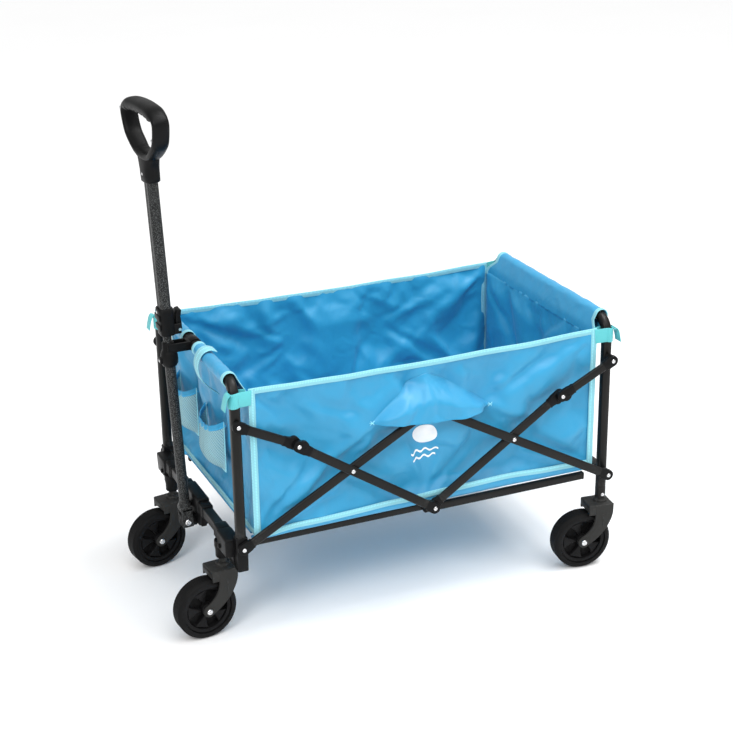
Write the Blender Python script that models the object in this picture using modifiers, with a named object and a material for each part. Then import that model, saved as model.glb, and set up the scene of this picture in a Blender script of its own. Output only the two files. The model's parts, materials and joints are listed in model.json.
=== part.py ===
"""A folding beach cart: scissor frame, bag panels, swivel casters and a telescopic pull handle.

Metres. -X is the handle end, -Y is the cart's left side, +Z is up, and the ground is z = 0.
"""

import math

import bmesh
import bpy
from mathutils import Matrix, Vector

# Frame ends, and the pivots of the side linkage
MIDDLE_X = 0.04955
HALF_LENGTH = 0.400
FRONT_X = MIDDLE_X - HALF_LENGTH
REAR_X = MIDDLE_X + HALF_LENGTH
POST_Y = 0.236
POST_R = 0.010
LOWER_PIVOT_Z = 0.215
UPPER_PIVOT_Z = 0.470
CENTRE_BOTTOM_Z = 0.223
CENTRE_TOP_Z = 0.437
CROSSING_DX = 0.1756
CROSSING_Z = 0.3395
KNEE_DX = 0.285
KNEE_Z = 0.413
HOOP_Z = 0.552
HOOP_CORNER_R = 0.035
REAR_POST_FOOT_Z = 0.1763

# Linkage bars lie in two layers outside the posts
BAR_HALF_WIDTH = 0.009
BAR_THICK = 0.0095
INNER_LAYER_Y = 0.25125
OUTER_LAYER_Y = 0.26105
RIVET_R = 0.0042
RIVET_HEAD = 0.0022

# Crossbars and brackets
GAP = 0.0003
CROSSBAR_SIDE = 0.020
CROSSBAR_Z = 0.215
FRONT_CROSSBAR_X = FRONT_X - 0.012
BRACKET_TOP_Z = 0.2357
BRACKET_INNER_Y = 0.143
BRACKET_OUTER_Y = 0.246
FRONT_STEM_X = FRONT_X - 0.016
FRONT_STEM_Y = 0.165
STEM_R = 0.008
STEM_HOLE_R = 0.0083

# Casters
WHEEL_R = 0.0628
WHEEL_SIDES = 28
TREAD_HALF_WIDTH = 0.0180
WHEEL_CENTRE_HALF_WIDTH = 0.0140
WHEEL_CENTRE_R = 0.0508
WEBS = 5
TRAIL = 0.0436
FORK_TOP_Z = 0.146
FORK_BLOCK_Z = 0.1290
FORK_INNER_Y = 0.0205
FORK_ARM_THICK = 0.005
AXLE_R = 0.004
AXLE_HOLE_R = 0.0044

# Bag
BAG_HALF_LENGTH = 0.370
BAG_HALF_WIDTH = 0.238
BAG_HEM_Z = 0.240
BAG_RIM_Z = 0.530
PANEL_THICK = 0.004

# Floor frame
FLOOR_HINGE_DX = 0.354
FLOOR_HINGE_Z = 0.2075
RAIL_THICK = 0.012
RAIL_HIGH = 0.016
FRONT_RAIL_Y = 0.2130
REAR_RAIL_Y = 0.2265
FLOOR_HALF_WIDTH = 0.204
FLOOR_PANEL_LENGTH = 0.303
FLOOR_Z = 0.2175

# Handle, measured along its own axis from the hinge at its foot
HANDLE_PIVOT = Vector((FRONT_X - 0.037, 0.0, 0.172))
HANDLE_LEAN = math.radians(2.24)
YOKE_TOP = 0.034
COLLAR_FROM = 0.343
COLLAR_TO = 0.370
CLAMP_FROM = 0.408
CLAMP_TO = 0.463
INNER_TUBE_TOP = 0.690
UPPER_TUBE_TOP = 0.716
GRIP_TOP = 0.872
GRIP_TURN = math.radians(5)
LOWER_TUBE_R = 0.0105
INNER_TUBE_R = 0.0085
SLIDE_BORE_R = 0.0092
GRIP_DEPTH = 0.036

FRAME_PAINT = ("frame_paint", (0.035, 0.034, 0.032), 0.45, 0.3)
HAMMERED_PAINT = ("hammered_paint", (0.06, 0.06, 0.06), 0.35, 0.5)
BLACK_PLASTIC = ("black_plastic", (0.02, 0.02, 0.022), 0.5, 0.0)
FORK_PLASTIC = ("fork_plastic", (0.06, 0.062, 0.062), 0.45, 0.0)
TREAD_RUBBER = ("tread_rubber", (0.02, 0.02, 0.02), 0.6, 0.0)
BRIGHT_ZINC = ("bright_zinc", (0.75, 0.75, 0.76), 0.25, 1.0)
BLUE_CLOTH = ("blue_cloth", (0.05, 0.30, 0.62), 0.4, 0.0)
AQUA_MESH = ("aqua_mesh", (0.20, 0.62, 0.72), 0.7, 0.0)

ALONG = {"x": Vector((1, 0, 0)), "y": Vector((0, 1, 0)), "z": Vector((0, 0, 1))}


def clear_scene():
    for obj in list(bpy.data.objects):
        bpy.data.objects.remove(obj, do_unlink=True)


def collection(name):
    made = bpy.data.collections.new(name)
    bpy.context.scene.collection.children.link(made)
    return made


clear_scene()
CART = collection("beach_cart")
CUTTERS = collection("cutters")


def material(finish):
    name, colour, roughness, metallic = finish
    made = bpy.data.materials.get(name)
    if made is None:
        made = bpy.data.materials.new(name)
        made.use_nodes = True
        shader = made.node_tree.nodes["Principled BSDF"]
        shader.inputs["Base Color"].default_value = (*colour, 1)
        shader.inputs["Roughness"].default_value = roughness
        shader.inputs["Metallic"].default_value = metallic
    return made


# --- meshes -------------------------------------------------------------------------------


def mesh_from(bm):
    made = bpy.data.meshes.new("shape")
    bm.to_mesh(made)
    bm.free()
    return made


def box_mesh(low, high):
    low, high = Vector(low), Vector(high)
    bm = bmesh.new()
    size = Matrix.Diagonal((*(high - low), 1))
    bmesh.ops.create_cube(bm, size=1, matrix=Matrix.Translation((low + high) / 2) @ size)
    return mesh_from(bm)


def rod_mesh(start, end, radius, sides=16):
    """A round bar between two points."""
    start, end = Vector(start), Vector(end)
    turn = (end - start).to_track_quat("Z", "Y").to_matrix().to_4x4()
    bm = bmesh.new()
    bmesh.ops.create_cone(
        bm,
        cap_ends=True,
        segments=sides,
        radius1=radius,
        radius2=radius,
        depth=(end - start).length,
        matrix=Matrix.Translation((start + end) / 2) @ turn,
    )
    return mesh_from(bm)


def mesh_of_curve(curve):
    """The evaluated curve as a welded mesh."""
    holder = bpy.data.objects.new("curve", curve)
    bpy.context.scene.collection.objects.link(holder)
    graph = bpy.context.evaluated_depsgraph_get()
    made = bpy.data.meshes.new_from_object(holder.evaluated_get(graph))
    bpy.data.objects.remove(holder, do_unlink=True)
    bm = bmesh.new()
    bm.from_mesh(made)
    bmesh.ops.remove_doubles(bm, verts=bm.verts, dist=1e-6)
    bmesh.ops.recalc_face_normals(bm, faces=bm.faces)
    bm.to_mesh(made)
    bm.free()
    return made


def plate_mesh(outlines, thickness, normal="z", middle=0.0):
    """Closed outlines, the later ones holes, filled and given a thickness along an axis.

    An outline's two numbers are x and y for normal z, x and z for normal y, y and z for normal x.
    """
    curve = bpy.data.curves.new("outline", "CURVE")
    curve.dimensions = "2D"
    curve.fill_mode = "BOTH"
    curve.extrude = thickness / 2
    for points in outlines:
        spline = curve.splines.new("POLY")
        spline.points.add(len(points) - 1)
        for point, (a, b) in zip(spline.points, points):
            point.co = (a, b, 0, 1)
        spline.use_cyclic_u = True
    made = mesh_of_curve(curve)
    stand = {
        "z": Matrix.Identity(4),
        "y": Matrix.Rotation(math.pi / 2, 4, "X"),
        "x": Matrix.Rotation(math.pi / 2, 4, "Z") @ Matrix.Rotation(math.pi / 2, 4, "X"),
    }[normal]
    made.transform(Matrix.Translation(ALONG[normal] * middle) @ stand)
    return made


def tube_mesh(points, radius, bevel_resolution=3):
    curve = bpy.data.curves.new("tube", "CURVE")
    curve.dimensions = "3D"
    curve.bevel_depth = radius
    curve.bevel_resolution = bevel_resolution
    curve.use_fill_caps = True
    spline = curve.splines.new("POLY")
    spline.points.add(len(points) - 1)
    for point, place in zip(spline.points, points):
        point.co = (*place, 1)
    return mesh_of_curve(curve)


def turned_object(name, profile, steps, finish, matrix):
    """A ring turned about its own Z axis. The closed profile is (radius, height), outer side downwards."""
    bm = bmesh.new()
    corners = [bm.verts.new((radius, 0, height)) for radius, height in profile]
    for i, corner in enumerate(corners):
        bm.edges.new((corner, corners[(i + 1) % len(corners)]))
    obj = place(name, mesh_from(bm), finish, matrix)
    screw = obj.modifiers.new("turn", "SCREW")
    screw.steps = steps
    screw.render_steps = steps
    screw.use_merge_vertices = True
    screw.merge_threshold = 0.00001
    return obj


# --- objects ------------------------------------------------------------------------------


def place(name, mesh, finish, matrix=Matrix.Identity(4)):
    mesh.name = name
    mesh.materials.clear()
    mesh.materials.append(material(finish))
    obj = bpy.data.objects.new(name, mesh)
    obj.matrix_world = matrix
    CART.objects.link(obj)
    return obj


def combine(obj, operation, meshes):
    """Adds or cuts helper shapes, given in the object's own space."""
    for i, mesh in enumerate(meshes):
        helper = bpy.data.objects.new(f"{obj.name}_{operation.lower()}_{i + 1}", mesh)
        helper.matrix_world = obj.matrix_world
        helper.hide_render = True
        helper.display_type = "WIRE"
        CUTTERS.objects.link(helper)
        modifier = obj.modifiers.new(f"{operation.lower()} {i + 1}", "BOOLEAN")
        modifier.operation = operation
        modifier.solver = "EXACT"
        modifier.object = helper
    return obj


def bevel(obj, width, segments=1):
    modifier = obj.modifiers.new("rounded edges", "BEVEL")
    modifier.width = width
    modifier.segments = segments
    modifier.limit_method = "ANGLE"
    modifier.angle_limit = math.radians(40)


def arc(centre, radius, start, end, steps):
    """Points on an arc in a plane, angles in degrees."""
    angles = [math.radians(start + (end - start) * i / steps) for i in range(steps + 1)]
    return [(centre[0] + radius * math.cos(a), centre[1] + radius * math.sin(a)) for a in angles]


def mirrored(half):
    """An outline whose left half is given from bottom to top."""
    return half + [(-a, b) for a, b in reversed(half) if abs(a) > 1e-9]


# --- frame ends ---------------------------------------------------------------------------


def hoop(name, x, foot_z):
    top = HOOP_Z - HOOP_CORNER_R
    side = POST_Y - HOOP_CORNER_R
    bend = arc((side, top), HOOP_CORNER_R, 0, 90, 4)
    half = [(POST_Y, foot_z)] + bend
    path = [(x, y, z) for y, z in half] + [(x, -y, z) for y, z in reversed(half)]
    place(name, tube_mesh(path, POST_R), FRAME_PAINT)


def front_end():
    hoop("front_hoop", FRONT_X, BRACKET_TOP_Z + GAP)
    half = CROSSBAR_SIDE / 2
    reach = BRACKET_INNER_Y - GAP
    bar = box_mesh(
        (FRONT_CROSSBAR_X - half, -reach, CROSSBAR_Z - half),
        (FRONT_CROSSBAR_X + half, reach, CROSSBAR_Z + half),
    )
    place("front_crossbar", bar, FRAME_PAINT)
    for side, word in ((-1, "left"), (1, "right")):
        corner_bracket(side, f"corner_bracket_{word}")
    handle_bracket()
    handle_clip()


def span(side, near, far):
    """Low and high y of a stretch on one side of the cart."""
    return sorted((side * near, side * far))


def corner_bracket(side, name):
    """Moulding that joins crossbar, front post and caster stem, and carries the lower pivot."""
    low, high = span(side, 0.222, BRACKET_OUTER_Y)
    foot = box_mesh((FRONT_X - 0.014, low, 0.166), (FRONT_X + 0.014, high, BRACKET_TOP_Z))
    low, high = span(side, BRACKET_INNER_Y, 0.230)
    arm = box_mesh((FRONT_X - 0.030, low, 0.186), (FRONT_X + 0.004, high, 0.229))
    boss_centre = (FRONT_STEM_X, side * FRONT_STEM_Y)
    boss = rod_mesh((*boss_centre, 0.164), (*boss_centre, 0.200), 0.0135)
    hole = rod_mesh((*boss_centre, 0.150), (*boss_centre, 0.1853), STEM_HOLE_R)
    obj = place(name, arm, BLACK_PLASTIC)
    combine(obj, "UNION", [foot, boss])
    combine(obj, "DIFFERENCE", [hole])


def handle_bracket():
    """Block under the crossbar with a tongue that the handle's yoke straddles."""
    pivot = HANDLE_PIVOT
    block = box_mesh((pivot.x + 0.0185, -0.028, 0.165), (pivot.x + 0.040, 0.028, 0.2047))
    tongue = box_mesh((pivot.x - 0.012, -0.010, pivot.z - 0.012), (pivot.x + 0.025, 0.010, pivot.z + 0.012))
    hole = rod_mesh((pivot.x, -0.03, pivot.z), (pivot.x, 0.03, pivot.z), AXLE_HOLE_R)
    obj = place("handle_bracket", block, BLACK_PLASTIC)
    combine(obj, "UNION", [tongue])
    combine(obj, "DIFFERENCE", [hole])


def handle_clip():
    """Forked catch on the front hoop that holds the standing handle."""
    tube_x = handle_matrix().to_3x3() @ Vector((0, 0, 0.383)) + HANDLE_PIVOT
    base_front = tube_x.x + INNER_TUBE_R + 0.0009
    outline = [
        (FRONT_X - POST_R - GAP, -0.0128),
        (FRONT_X - POST_R - GAP, 0.0128),
        (tube_x.x - 0.004, 0.0128),
        (tube_x.x - 0.004, 0.0094),
        (base_front, 0.0094),
        (base_front, -0.0094),
        (tube_x.x - 0.004, -0.0094),
        (tube_x.x - 0.004, -0.0128),
    ]
    place("handle_clip", plate_mesh([outline], 0.016, "z", HOOP_Z), BLACK_PLASTIC)


def rear_end():
    hoop("rear_hoop", REAR_X, REAR_POST_FOOT_Z)
    half = CROSSBAR_SIDE / 2
    reach = POST_Y - POST_R - GAP
    bar = box_mesh((REAR_X - half, -reach, CROSSBAR_Z - half), (REAR_X + half, reach, CROSSBAR_Z + half))
    place("rear_crossbar", bar, FRAME_PAINT)
    for side, word in ((-1, "left"), (1, "right")):
        centre = (REAR_X, side * POST_Y)
        socket = rod_mesh((*centre, 0.158), (*centre, REAR_POST_FOOT_Z - GAP), 0.013)
        hole = rod_mesh((*centre, 0.150), (*centre, 0.1713), STEM_HOLE_R)
        obj = place(f"rear_socket_{word}", socket, BLACK_PLASTIC)
        combine(obj, "DIFFERENCE", [hole])


# --- side linkage -------------------------------------------------------------------------


def linkage_bar(name, start, end, side, layer_y, spacer_at_start=False, rivets=(0.0, 1.0)):
    """A flat bar with round ends, its origin on the pivot at start, with rivet heads outside."""
    start, end = Vector(start), Vector(end)
    run = end - start
    slope = math.atan2(run[1], run[0])
    length = run.length
    tip = 0.0115
    under = [(0.022, -tip), (0.024, -BAR_HALF_WIDTH), (length - 0.024, -BAR_HALF_WIDTH), (length - 0.022, -tip)]
    over = [(a, -b) for a, b in reversed(under)]
    outline = arc((length, 0), tip, -90, 90, 6) + over + arc((0, 0), tip, 90, 270, 6) + under
    matrix = Matrix.Translation((start[0], side * layer_y, start[1])) @ Matrix.Rotation(-slope, 4, "Y")
    obj = place(name, plate_mesh([outline], BAR_THICK, "y"), FRAME_PAINT, matrix)
    outside = side * BAR_THICK / 2
    added = []
    for share in rivets:
        centre = share * length
        face = (centre, outside * 0.5, 0)
        added.append(rod_mesh(face, (centre, outside + side * RIVET_HEAD, 0), RIVET_R, 8))
    if spacer_at_start:
        inner = side * (BRACKET_OUTER_Y + GAP - layer_y)
        added.append(rod_mesh((0, 0, 0), (0, inner, 0), 0.0100, 12))
    combine(obj, "UNION", added)


def at(end, dx, z):
    """A linkage pivot: end is -1 for the front half and 1 for the rear half."""
    return (MIDDLE_X + end * dx, z)


def side_linkage(side, word):
    for end, end_word in ((-1, "front"), (1, "rear")):
        lower = at(end, HALF_LENGTH, LOWER_PIVOT_Z)
        upper = at(end, HALF_LENGTH, UPPER_PIVOT_Z)
        knee = at(end, KNEE_DX, KNEE_Z)
        long_layer, cross_layer = INNER_LAYER_Y, OUTER_LAYER_Y
        if end == 1:
            long_layer, cross_layer = OUTER_LAYER_Y, INNER_LAYER_Y
        outer_long = end == 1
        name = f"{end_word}_{word}"
        linkage_bar(
            f"long_bar_{name}",
            lower,
            at(end, 0, CENTRE_TOP_Z),
            side,
            long_layer,
            spacer_at_start=outer_long,
            rivets=(0.0, 0.561, 1.0) if outer_long else (0.0,),
        )
        linkage_bar(
            f"cross_bar_{name}",
            knee,
            at(end, 0, CENTRE_BOTTOM_Z),
            side,
            cross_layer,
            rivets=() if outer_long else (0.0, 0.385, 1.0),
        )
        linkage_bar(
            f"short_link_{name}",
            upper,
            knee,
            side,
            long_layer,
            spacer_at_start=outer_long,
            rivets=(0.0, 1.0) if outer_long else (0.0,),
        )


# --- floor --------------------------------------------------------------------------------


def floor_half(end, word):
    """Two rails and a stiff floor panel that swing up about a hinge line at their end of the cart."""
    hinge = Matrix.Translation((MIDDLE_X + end * FLOOR_HINGE_DX, 0, FLOOR_HINGE_Z))
    rail_y = FRONT_RAIL_Y if end == -1 else REAR_RAIL_Y
    for side, side_word in ((-1, "left"), (1, "right")):
        outline = arc((0, 0), RAIL_HIGH / 2, 90, 270, 6) + arc((FLOOR_HINGE_DX, 0), RAIL_HIGH / 2, -90, 90, 6)
        outline = [(-end * a, b) for a, b in outline]
        mesh = plate_mesh([outline], RAIL_THICK, "y", side * rail_y)
        place(f"floor_rail_{word}_{side_word}", mesh, FRAME_PAINT, hinge)
    low, high = sorted((0, -end * FLOOR_PANEL_LENGTH))
    base = FLOOR_Z - FLOOR_HINGE_Z
    mesh = box_mesh((low, -FLOOR_HALF_WIDTH, base), (high, FLOOR_HALF_WIDTH, base + PANEL_THICK))
    place(f"floor_panel_{word}", mesh, BLUE_CLOTH, hinge)


# --- bag ----------------------------------------------------------------------------------


def bag():
    skin = PANEL_THICK
    for end, word in ((-1, "front"), (1, "rear")):
        low, high = sorted((end * BAG_HALF_LENGTH, end * (BAG_HALF_LENGTH + skin)))
        mesh = box_mesh((low, -0.226, BAG_HEM_Z), (high, 0.226, BAG_RIM_Z))
        place(f"bag_{word}_panel", mesh, BLUE_CLOTH, Matrix.Translation((MIDDLE_X, 0, 0)))
    for side, word in ((-1, "left"), (1, "right")):
        low, high = span(side, BAG_HALF_WIDTH, BAG_HALF_WIDTH + skin)
        mesh = box_mesh((-BAG_HALF_LENGTH, low, BAG_HEM_Z), (BAG_HALF_LENGTH, high, BAG_RIM_Z))
        place(f"bag_{word}_panel", mesh, BLUE_CLOTH, Matrix.Translation((MIDDLE_X, 0, 0)))
    gap_half = FLOOR_HINGE_DX - FLOOR_PANEL_LENGTH - 0.001
    mesh = box_mesh(
        (-gap_half, -FLOOR_HALF_WIDTH, FLOOR_Z), (gap_half, FLOOR_HALF_WIDTH, FLOOR_Z + PANEL_THICK)
    )
    place("bag_floor_centre", mesh, BLUE_CLOTH, Matrix.Translation((MIDDLE_X, 0, 0)))
    pocket("pocket_left", -0.031, 0.294, 0.411)
    pocket("pocket_right", 0.140, 0.304, 0.420)


def pocket(name, middle_y, low_z, high_z):
    """A bulging pocket on the outside of the front panel."""
    half_width, depth = 0.055, 0.032
    bulge = [
        (half_width * math.cos(math.pi * i / 8), depth * math.sin(math.pi * i / 8)) for i in range(9)
    ]
    outline = [(-out, across) for across, out in bulge]
    face = Vector((MIDDLE_X - BAG_HALF_LENGTH - PANEL_THICK - GAP, middle_y, 0))
    mesh = plate_mesh([outline], high_z - low_z, "z", (low_z + high_z) / 2)
    place(name, mesh, AQUA_MESH, Matrix.Translation(face))


# --- casters ------------------------------------------------------------------------------


def fork_arm_outline():
    """Side view of a fork arm, from the block down to the round end at the axle."""
    end = arc((-TRAIL, WHEEL_R), 0.0115, 130, 320, 7)
    bowed = [(-0.0205, 0.136), (-0.0198, 0.115), (-0.0245, 0.098), (-0.0350, 0.084), (-0.0470, 0.0745)]
    swept = [(-0.0200, 0.064), (-0.0060, 0.076), (0.0070, 0.092), (0.0160, 0.109), (0.0203, 0.125)]
    return bowed + end + swept + [(0.0203, 0.136)]


def caster(name, stem_x, stem_y, stem_top, turn_degrees):
    turned = Matrix.Translation((stem_x, stem_y, 0)) @ Matrix.Rotation(math.radians(turn_degrees), 4, "Z")
    arm_y = FORK_INNER_Y + FORK_ARM_THICK / 2
    outer_y = FORK_INNER_Y + FORK_ARM_THICK
    block = box_mesh((-0.0340, -outer_y, FORK_BLOCK_Z), (0.0210, outer_y, FORK_TOP_Z))
    arms = [plate_mesh([fork_arm_outline()], FORK_ARM_THICK, "y", side * arm_y) for side in (-1, 1)]
    stem = rod_mesh((0, 0, FORK_TOP_Z - 0.005), (0, 0, stem_top), STEM_R)
    collar = rod_mesh((0, 0, FORK_TOP_Z - 0.004), (0, 0, FORK_TOP_Z + 0.006), 0.014)
    hole = rod_mesh((-TRAIL, -0.05, WHEEL_R), (-TRAIL, 0.05, WHEEL_R), AXLE_HOLE_R, 12)
    fork = place(f"fork_{name}", block, FORK_PLASTIC, turned)
    combine(fork, "UNION", [*arms, collar, stem])
    combine(fork, "DIFFERENCE", [hole])

    hub = turned @ Matrix.Translation((-TRAIL, 0, WHEEL_R))
    pin = rod_mesh((0, -outer_y - 0.002, 0), (0, outer_y + 0.002, 0), AXLE_R, 12)
    axle = place(f"axle_{name}", pin, BRIGHT_ZINC, hub)
    head = outer_y + GAP
    heads = [rod_mesh((0, side * head, 0), (0, side * (head + 0.003), 0), 0.0065, 12) for side in (-1, 1)]
    combine(axle, "UNION", heads)

    place(f"wheel_centre_{name}", wheel_centre_mesh(), BLACK_PLASTIC, hub)
    half_step = math.pi / WHEEL_SIDES
    flat = 1 / math.cos(half_step)
    inner = (WHEEL_CENTRE_R + 0.0006) * flat
    half = TREAD_HALF_WIDTH
    profile = [
        (WHEEL_R * flat, half - 0.005),
        (WHEEL_R * flat, -half + 0.005),
        ((WHEEL_R - 0.004) * flat, -half),
        (inner, -half),
        (inner, half),
        ((WHEEL_R - 0.004) * flat, half),
    ]
    lay = Matrix.Rotation(math.pi / 2, 4, "X") @ Matrix.Rotation(math.pi / 2 + half_step, 4, "Z")
    turned_object(f"tread_{name}", profile, WHEEL_SIDES, TREAD_RUBBER, hub @ lay)


def wheel_centre_mesh():
    """Disc with a bore and five openings that leave webs widening towards the rim."""
    disc = arc((0, 0), WHEEL_CENTRE_R, 0, 360, WHEEL_SIDES)[:-1]
    bore = arc((0, 0), AXLE_R + 0.0006, 0, 360, 12)[:-1]
    outlines = [disc, bore]
    for i in range(WEBS):
        middle = 360 / WEBS * i
        inner = arc((0, 0), 0.020, middle - 24, middle + 24, 2)
        outer = arc((0, 0), 0.043, middle + 20, middle - 20, 3)
        outlines.append(inner + outer)
    return plate_mesh(outlines, 2 * WHEEL_CENTRE_HALF_WIDTH, "y")


def casters():
    front_top = 0.1850
    rear_top = 0.1710
    caster("front_left", FRONT_STEM_X, -FRONT_STEM_Y, front_top, 5.6)
    caster("front_right", FRONT_STEM_X, FRONT_STEM_Y, front_top, 9.9)
    caster("rear_left", REAR_X, -POST_Y, rear_top, -7.3)
    caster("rear_right", REAR_X, POST_Y, rear_top, 5.0)


# --- handle -------------------------------------------------------------------------------


def handle_matrix():
    """The handle's own space: origin on its hinge, Z along its tubes."""
    return Matrix.Translation(HANDLE_PIVOT) @ Matrix.Rotation(-HANDLE_LEAN, 4, "Y")


def rounded_rectangle(half_x, half_y, radius):
    corners = []
    for i, (sx, sy) in enumerate(((1, 1), (-1, 1), (-1, -1), (1, -1))):
        centre = (sx * (half_x - radius), sy * (half_y - radius))
        corners += arc(centre, radius, 90 * i, 90 * i + 90, 2)
    return corners


def handle():
    stand = handle_matrix()
    ears = [
        (-0.0145, -0.012),
        (-0.0103, -0.012),
        (-0.0103, 0.024),
        (0.0103, 0.024),
        (0.0103, -0.012),
        (0.0145, -0.012),
        (0.0145, YOKE_TOP),
        (-0.0145, YOKE_TOP),
    ]
    yoke = place("handle_yoke", plate_mesh([ears], 0.024, "x"), HAMMERED_PAINT, stand)
    combine(yoke, "DIFFERENCE", [rod_mesh((0, -0.03, 0), (0, 0.03, 0), AXLE_HOLE_R)])
    bolt = place("handle_bolt", rod_mesh((0, -0.0170, 0), (0, 0.0170, 0), AXLE_R, 12), BRIGHT_ZINC, stand)
    heads = [rod_mesh((0, side * 0.0148, 0), (0, side * 0.0180, 0), 0.0068, 12) for side in (-1, 1)]
    combine(bolt, "UNION", heads)

    lower = rod_mesh((0, 0, YOKE_TOP + GAP), (0, 0, COLLAR_FROM - GAP), LOWER_TUBE_R)
    place("handle_lower_tube", lower, HAMMERED_PAINT, stand)
    inner = rod_mesh((0, 0, COLLAR_FROM), (0, 0, INNER_TUBE_TOP), INNER_TUBE_R)
    place("handle_inner_tube", inner, HAMMERED_PAINT, stand)
    bore = SLIDE_BORE_R
    ball = [
        (0.0150, COLLAR_TO),
        (0.0170, COLLAR_TO - 0.006),
        (0.0170, COLLAR_FROM + 0.006),
        (0.0145, COLLAR_FROM),
        (bore, COLLAR_FROM),
        (bore, COLLAR_TO),
    ]
    turned_object("ball_collar", ball, 16, BLACK_PLASTIC, stand)

    bore_outline = arc((0, 0), SLIDE_BORE_R, 0, 360, 16)[:-1]
    outline = rounded_rectangle(0.0155, 0.0185, 0.005)
    middle = (CLAMP_FROM + CLAMP_TO) / 2
    mesh = plate_mesh([outline, bore_outline], CLAMP_TO - CLAMP_FROM, "z", middle)
    place("handle_clamp", mesh, BLACK_PLASTIC, stand)
    outline = rounded_rectangle(0.011, 0.015, 0.005)
    low, high = CLAMP_TO + GAP, UPPER_TUBE_TOP
    mesh = plate_mesh([outline, bore_outline], high - low, "z", (low + high) / 2)
    place("handle_upper_tube", mesh, HAMMERED_PAINT, stand)
    clamp_lever(stand)
    grip(stand)


def clamp_lever(stand):
    """Cam lever on the clamp's cart side, its origin on its pin."""
    pin = stand @ Matrix.Translation((0.0230, 0, 0.418))
    outline = arc((0, 0), 0.0062, 180, 360, 5) + [(0.0062, 0.030), (0.0020, 0.038), (-0.0062, 0.038)]
    place("clamp_lever", plate_mesh([outline], 0.024, "y"), BLACK_PLASTIC, pin)


def grip(stand):
    """A wide loop across the handle, turned a little towards the cart's left."""
    outer = mirrored(
        [
            (-0.0170, UPPER_TUBE_TOP + GAP),
            (-0.0200, 0.748),
            (-0.0340, 0.762),
            (-0.0540, 0.777),
            (-0.0750, 0.798),
            (-0.0860, 0.832),
            (-0.0810, 0.851),
            (-0.0610, 0.865),
            (-0.0290, GRIP_TOP),
        ]
    )
    hole = mirrored(
        [
            (0.0, 0.775),
            (-0.0240, 0.7785),
            (-0.0440, 0.790),
            (-0.0630, 0.806),
            (-0.0720, 0.828),
            (-0.0660, 0.841),
            (-0.0500, 0.8445),
        ]
    )
    turned = stand @ Matrix.Rotation(GRIP_TURN, 4, "Z")
    obj = place("grip", plate_mesh([outer, hole], GRIP_DEPTH, "x"), BLACK_PLASTIC, turned)
    bevel(obj, 0.006, 2)


def main():
    front_end()
    rear_end()
    for side, word in ((-1, "left"), (1, "right")):
        side_linkage(side, word)
    floor_half(-1, "front")
    floor_half(1, "rear")
    bag()
    casters()
    handle()
    for obj in CART.objects:
        if obj.type == "MESH":
            obj.data.shade_smooth()
            obj.data.set_sharp_from_angle(angle=math.radians(35))


main()
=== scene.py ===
"""Looks of a folding beach cart: painted scissor frame, sewn bag, swivel casters and pull handle.

Metres. -X is the handle end, -Y is the cart's left side, +Z is up, and the ground is z = 0.
"""

import json
import math

import bmesh
import bpy
import numpy as np
from mathutils import Matrix, Vector, noise
from mathutils.bvhtree import BVHTree


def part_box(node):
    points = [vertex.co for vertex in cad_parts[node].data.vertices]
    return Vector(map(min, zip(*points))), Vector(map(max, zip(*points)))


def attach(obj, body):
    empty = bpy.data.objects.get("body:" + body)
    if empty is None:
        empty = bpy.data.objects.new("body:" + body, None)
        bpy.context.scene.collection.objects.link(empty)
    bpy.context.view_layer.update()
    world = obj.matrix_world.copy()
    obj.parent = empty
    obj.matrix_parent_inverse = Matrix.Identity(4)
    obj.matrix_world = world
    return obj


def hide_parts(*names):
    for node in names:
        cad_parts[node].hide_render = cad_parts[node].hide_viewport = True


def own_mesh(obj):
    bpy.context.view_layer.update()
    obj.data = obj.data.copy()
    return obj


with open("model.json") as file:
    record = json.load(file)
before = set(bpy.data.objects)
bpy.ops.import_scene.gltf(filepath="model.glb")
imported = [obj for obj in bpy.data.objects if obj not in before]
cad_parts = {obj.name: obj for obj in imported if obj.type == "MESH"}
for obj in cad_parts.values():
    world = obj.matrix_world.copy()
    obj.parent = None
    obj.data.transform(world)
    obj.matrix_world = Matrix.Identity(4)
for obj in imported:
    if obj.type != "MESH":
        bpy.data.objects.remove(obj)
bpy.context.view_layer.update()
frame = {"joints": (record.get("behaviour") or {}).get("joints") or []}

bl_info = {
    "name": "Folding beach cart",
    "version": (1, 0, 0),
    "blender": (4, 5, 0),
    "location": "3D View > Sidebar > Beach Cart",
    "description": "Builds the visible pieces and finishes of a folding beach cart",
    "category": "Object",
}

# Places taken from the frame
PIVOT = {joint["name"]: Vector(joint.get("pos_m") or (0, 0, 0)) for joint in frame["joints"]}
FRONT_X = PIVOT["fold"].x
REAR_X = PIVOT["rear_frame_hinge"].x
MIDDLE_X = (FRONT_X + REAR_X) / 2
POST_Y = (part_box("rear_hoop")[1].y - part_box("rear_hoop")[0].y) / 2 - 0.010
HOOP_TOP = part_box("front_hoop")[1].z
HOOP_Z = HOOP_TOP - 0.010
INNER_Y = abs(PIVOT["fold"].y)
OUTER_Y = abs(PIVOT["centre_top_left_hinge"].y)
BAR_THICK = OUTER_Y - INNER_Y - 0.0003
PANEL_DX = 0.3715
PANEL_Y = 0.2400
SEAM_Z = 0.518
ENDS = ((-1, "front"), (1, "rear"))
SIDES = ((-1, "left"), (1, "right"))


# --- choices a user may change --------------------------------------------------------------


def length(name, text, default):
    return bpy.props.FloatProperty(name=name, description=text, default=default, unit="LENGTH", precision=4)


def share(name, text, default):
    return bpy.props.FloatProperty(name=name, description=text, default=default, min=0.0, max=1.0)


def colour(name, text, default):
    return bpy.props.FloatVectorProperty(
        name=name, description=text, default=default, size=3, subtype="COLOR", min=0.0, max=1.0
    )


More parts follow.
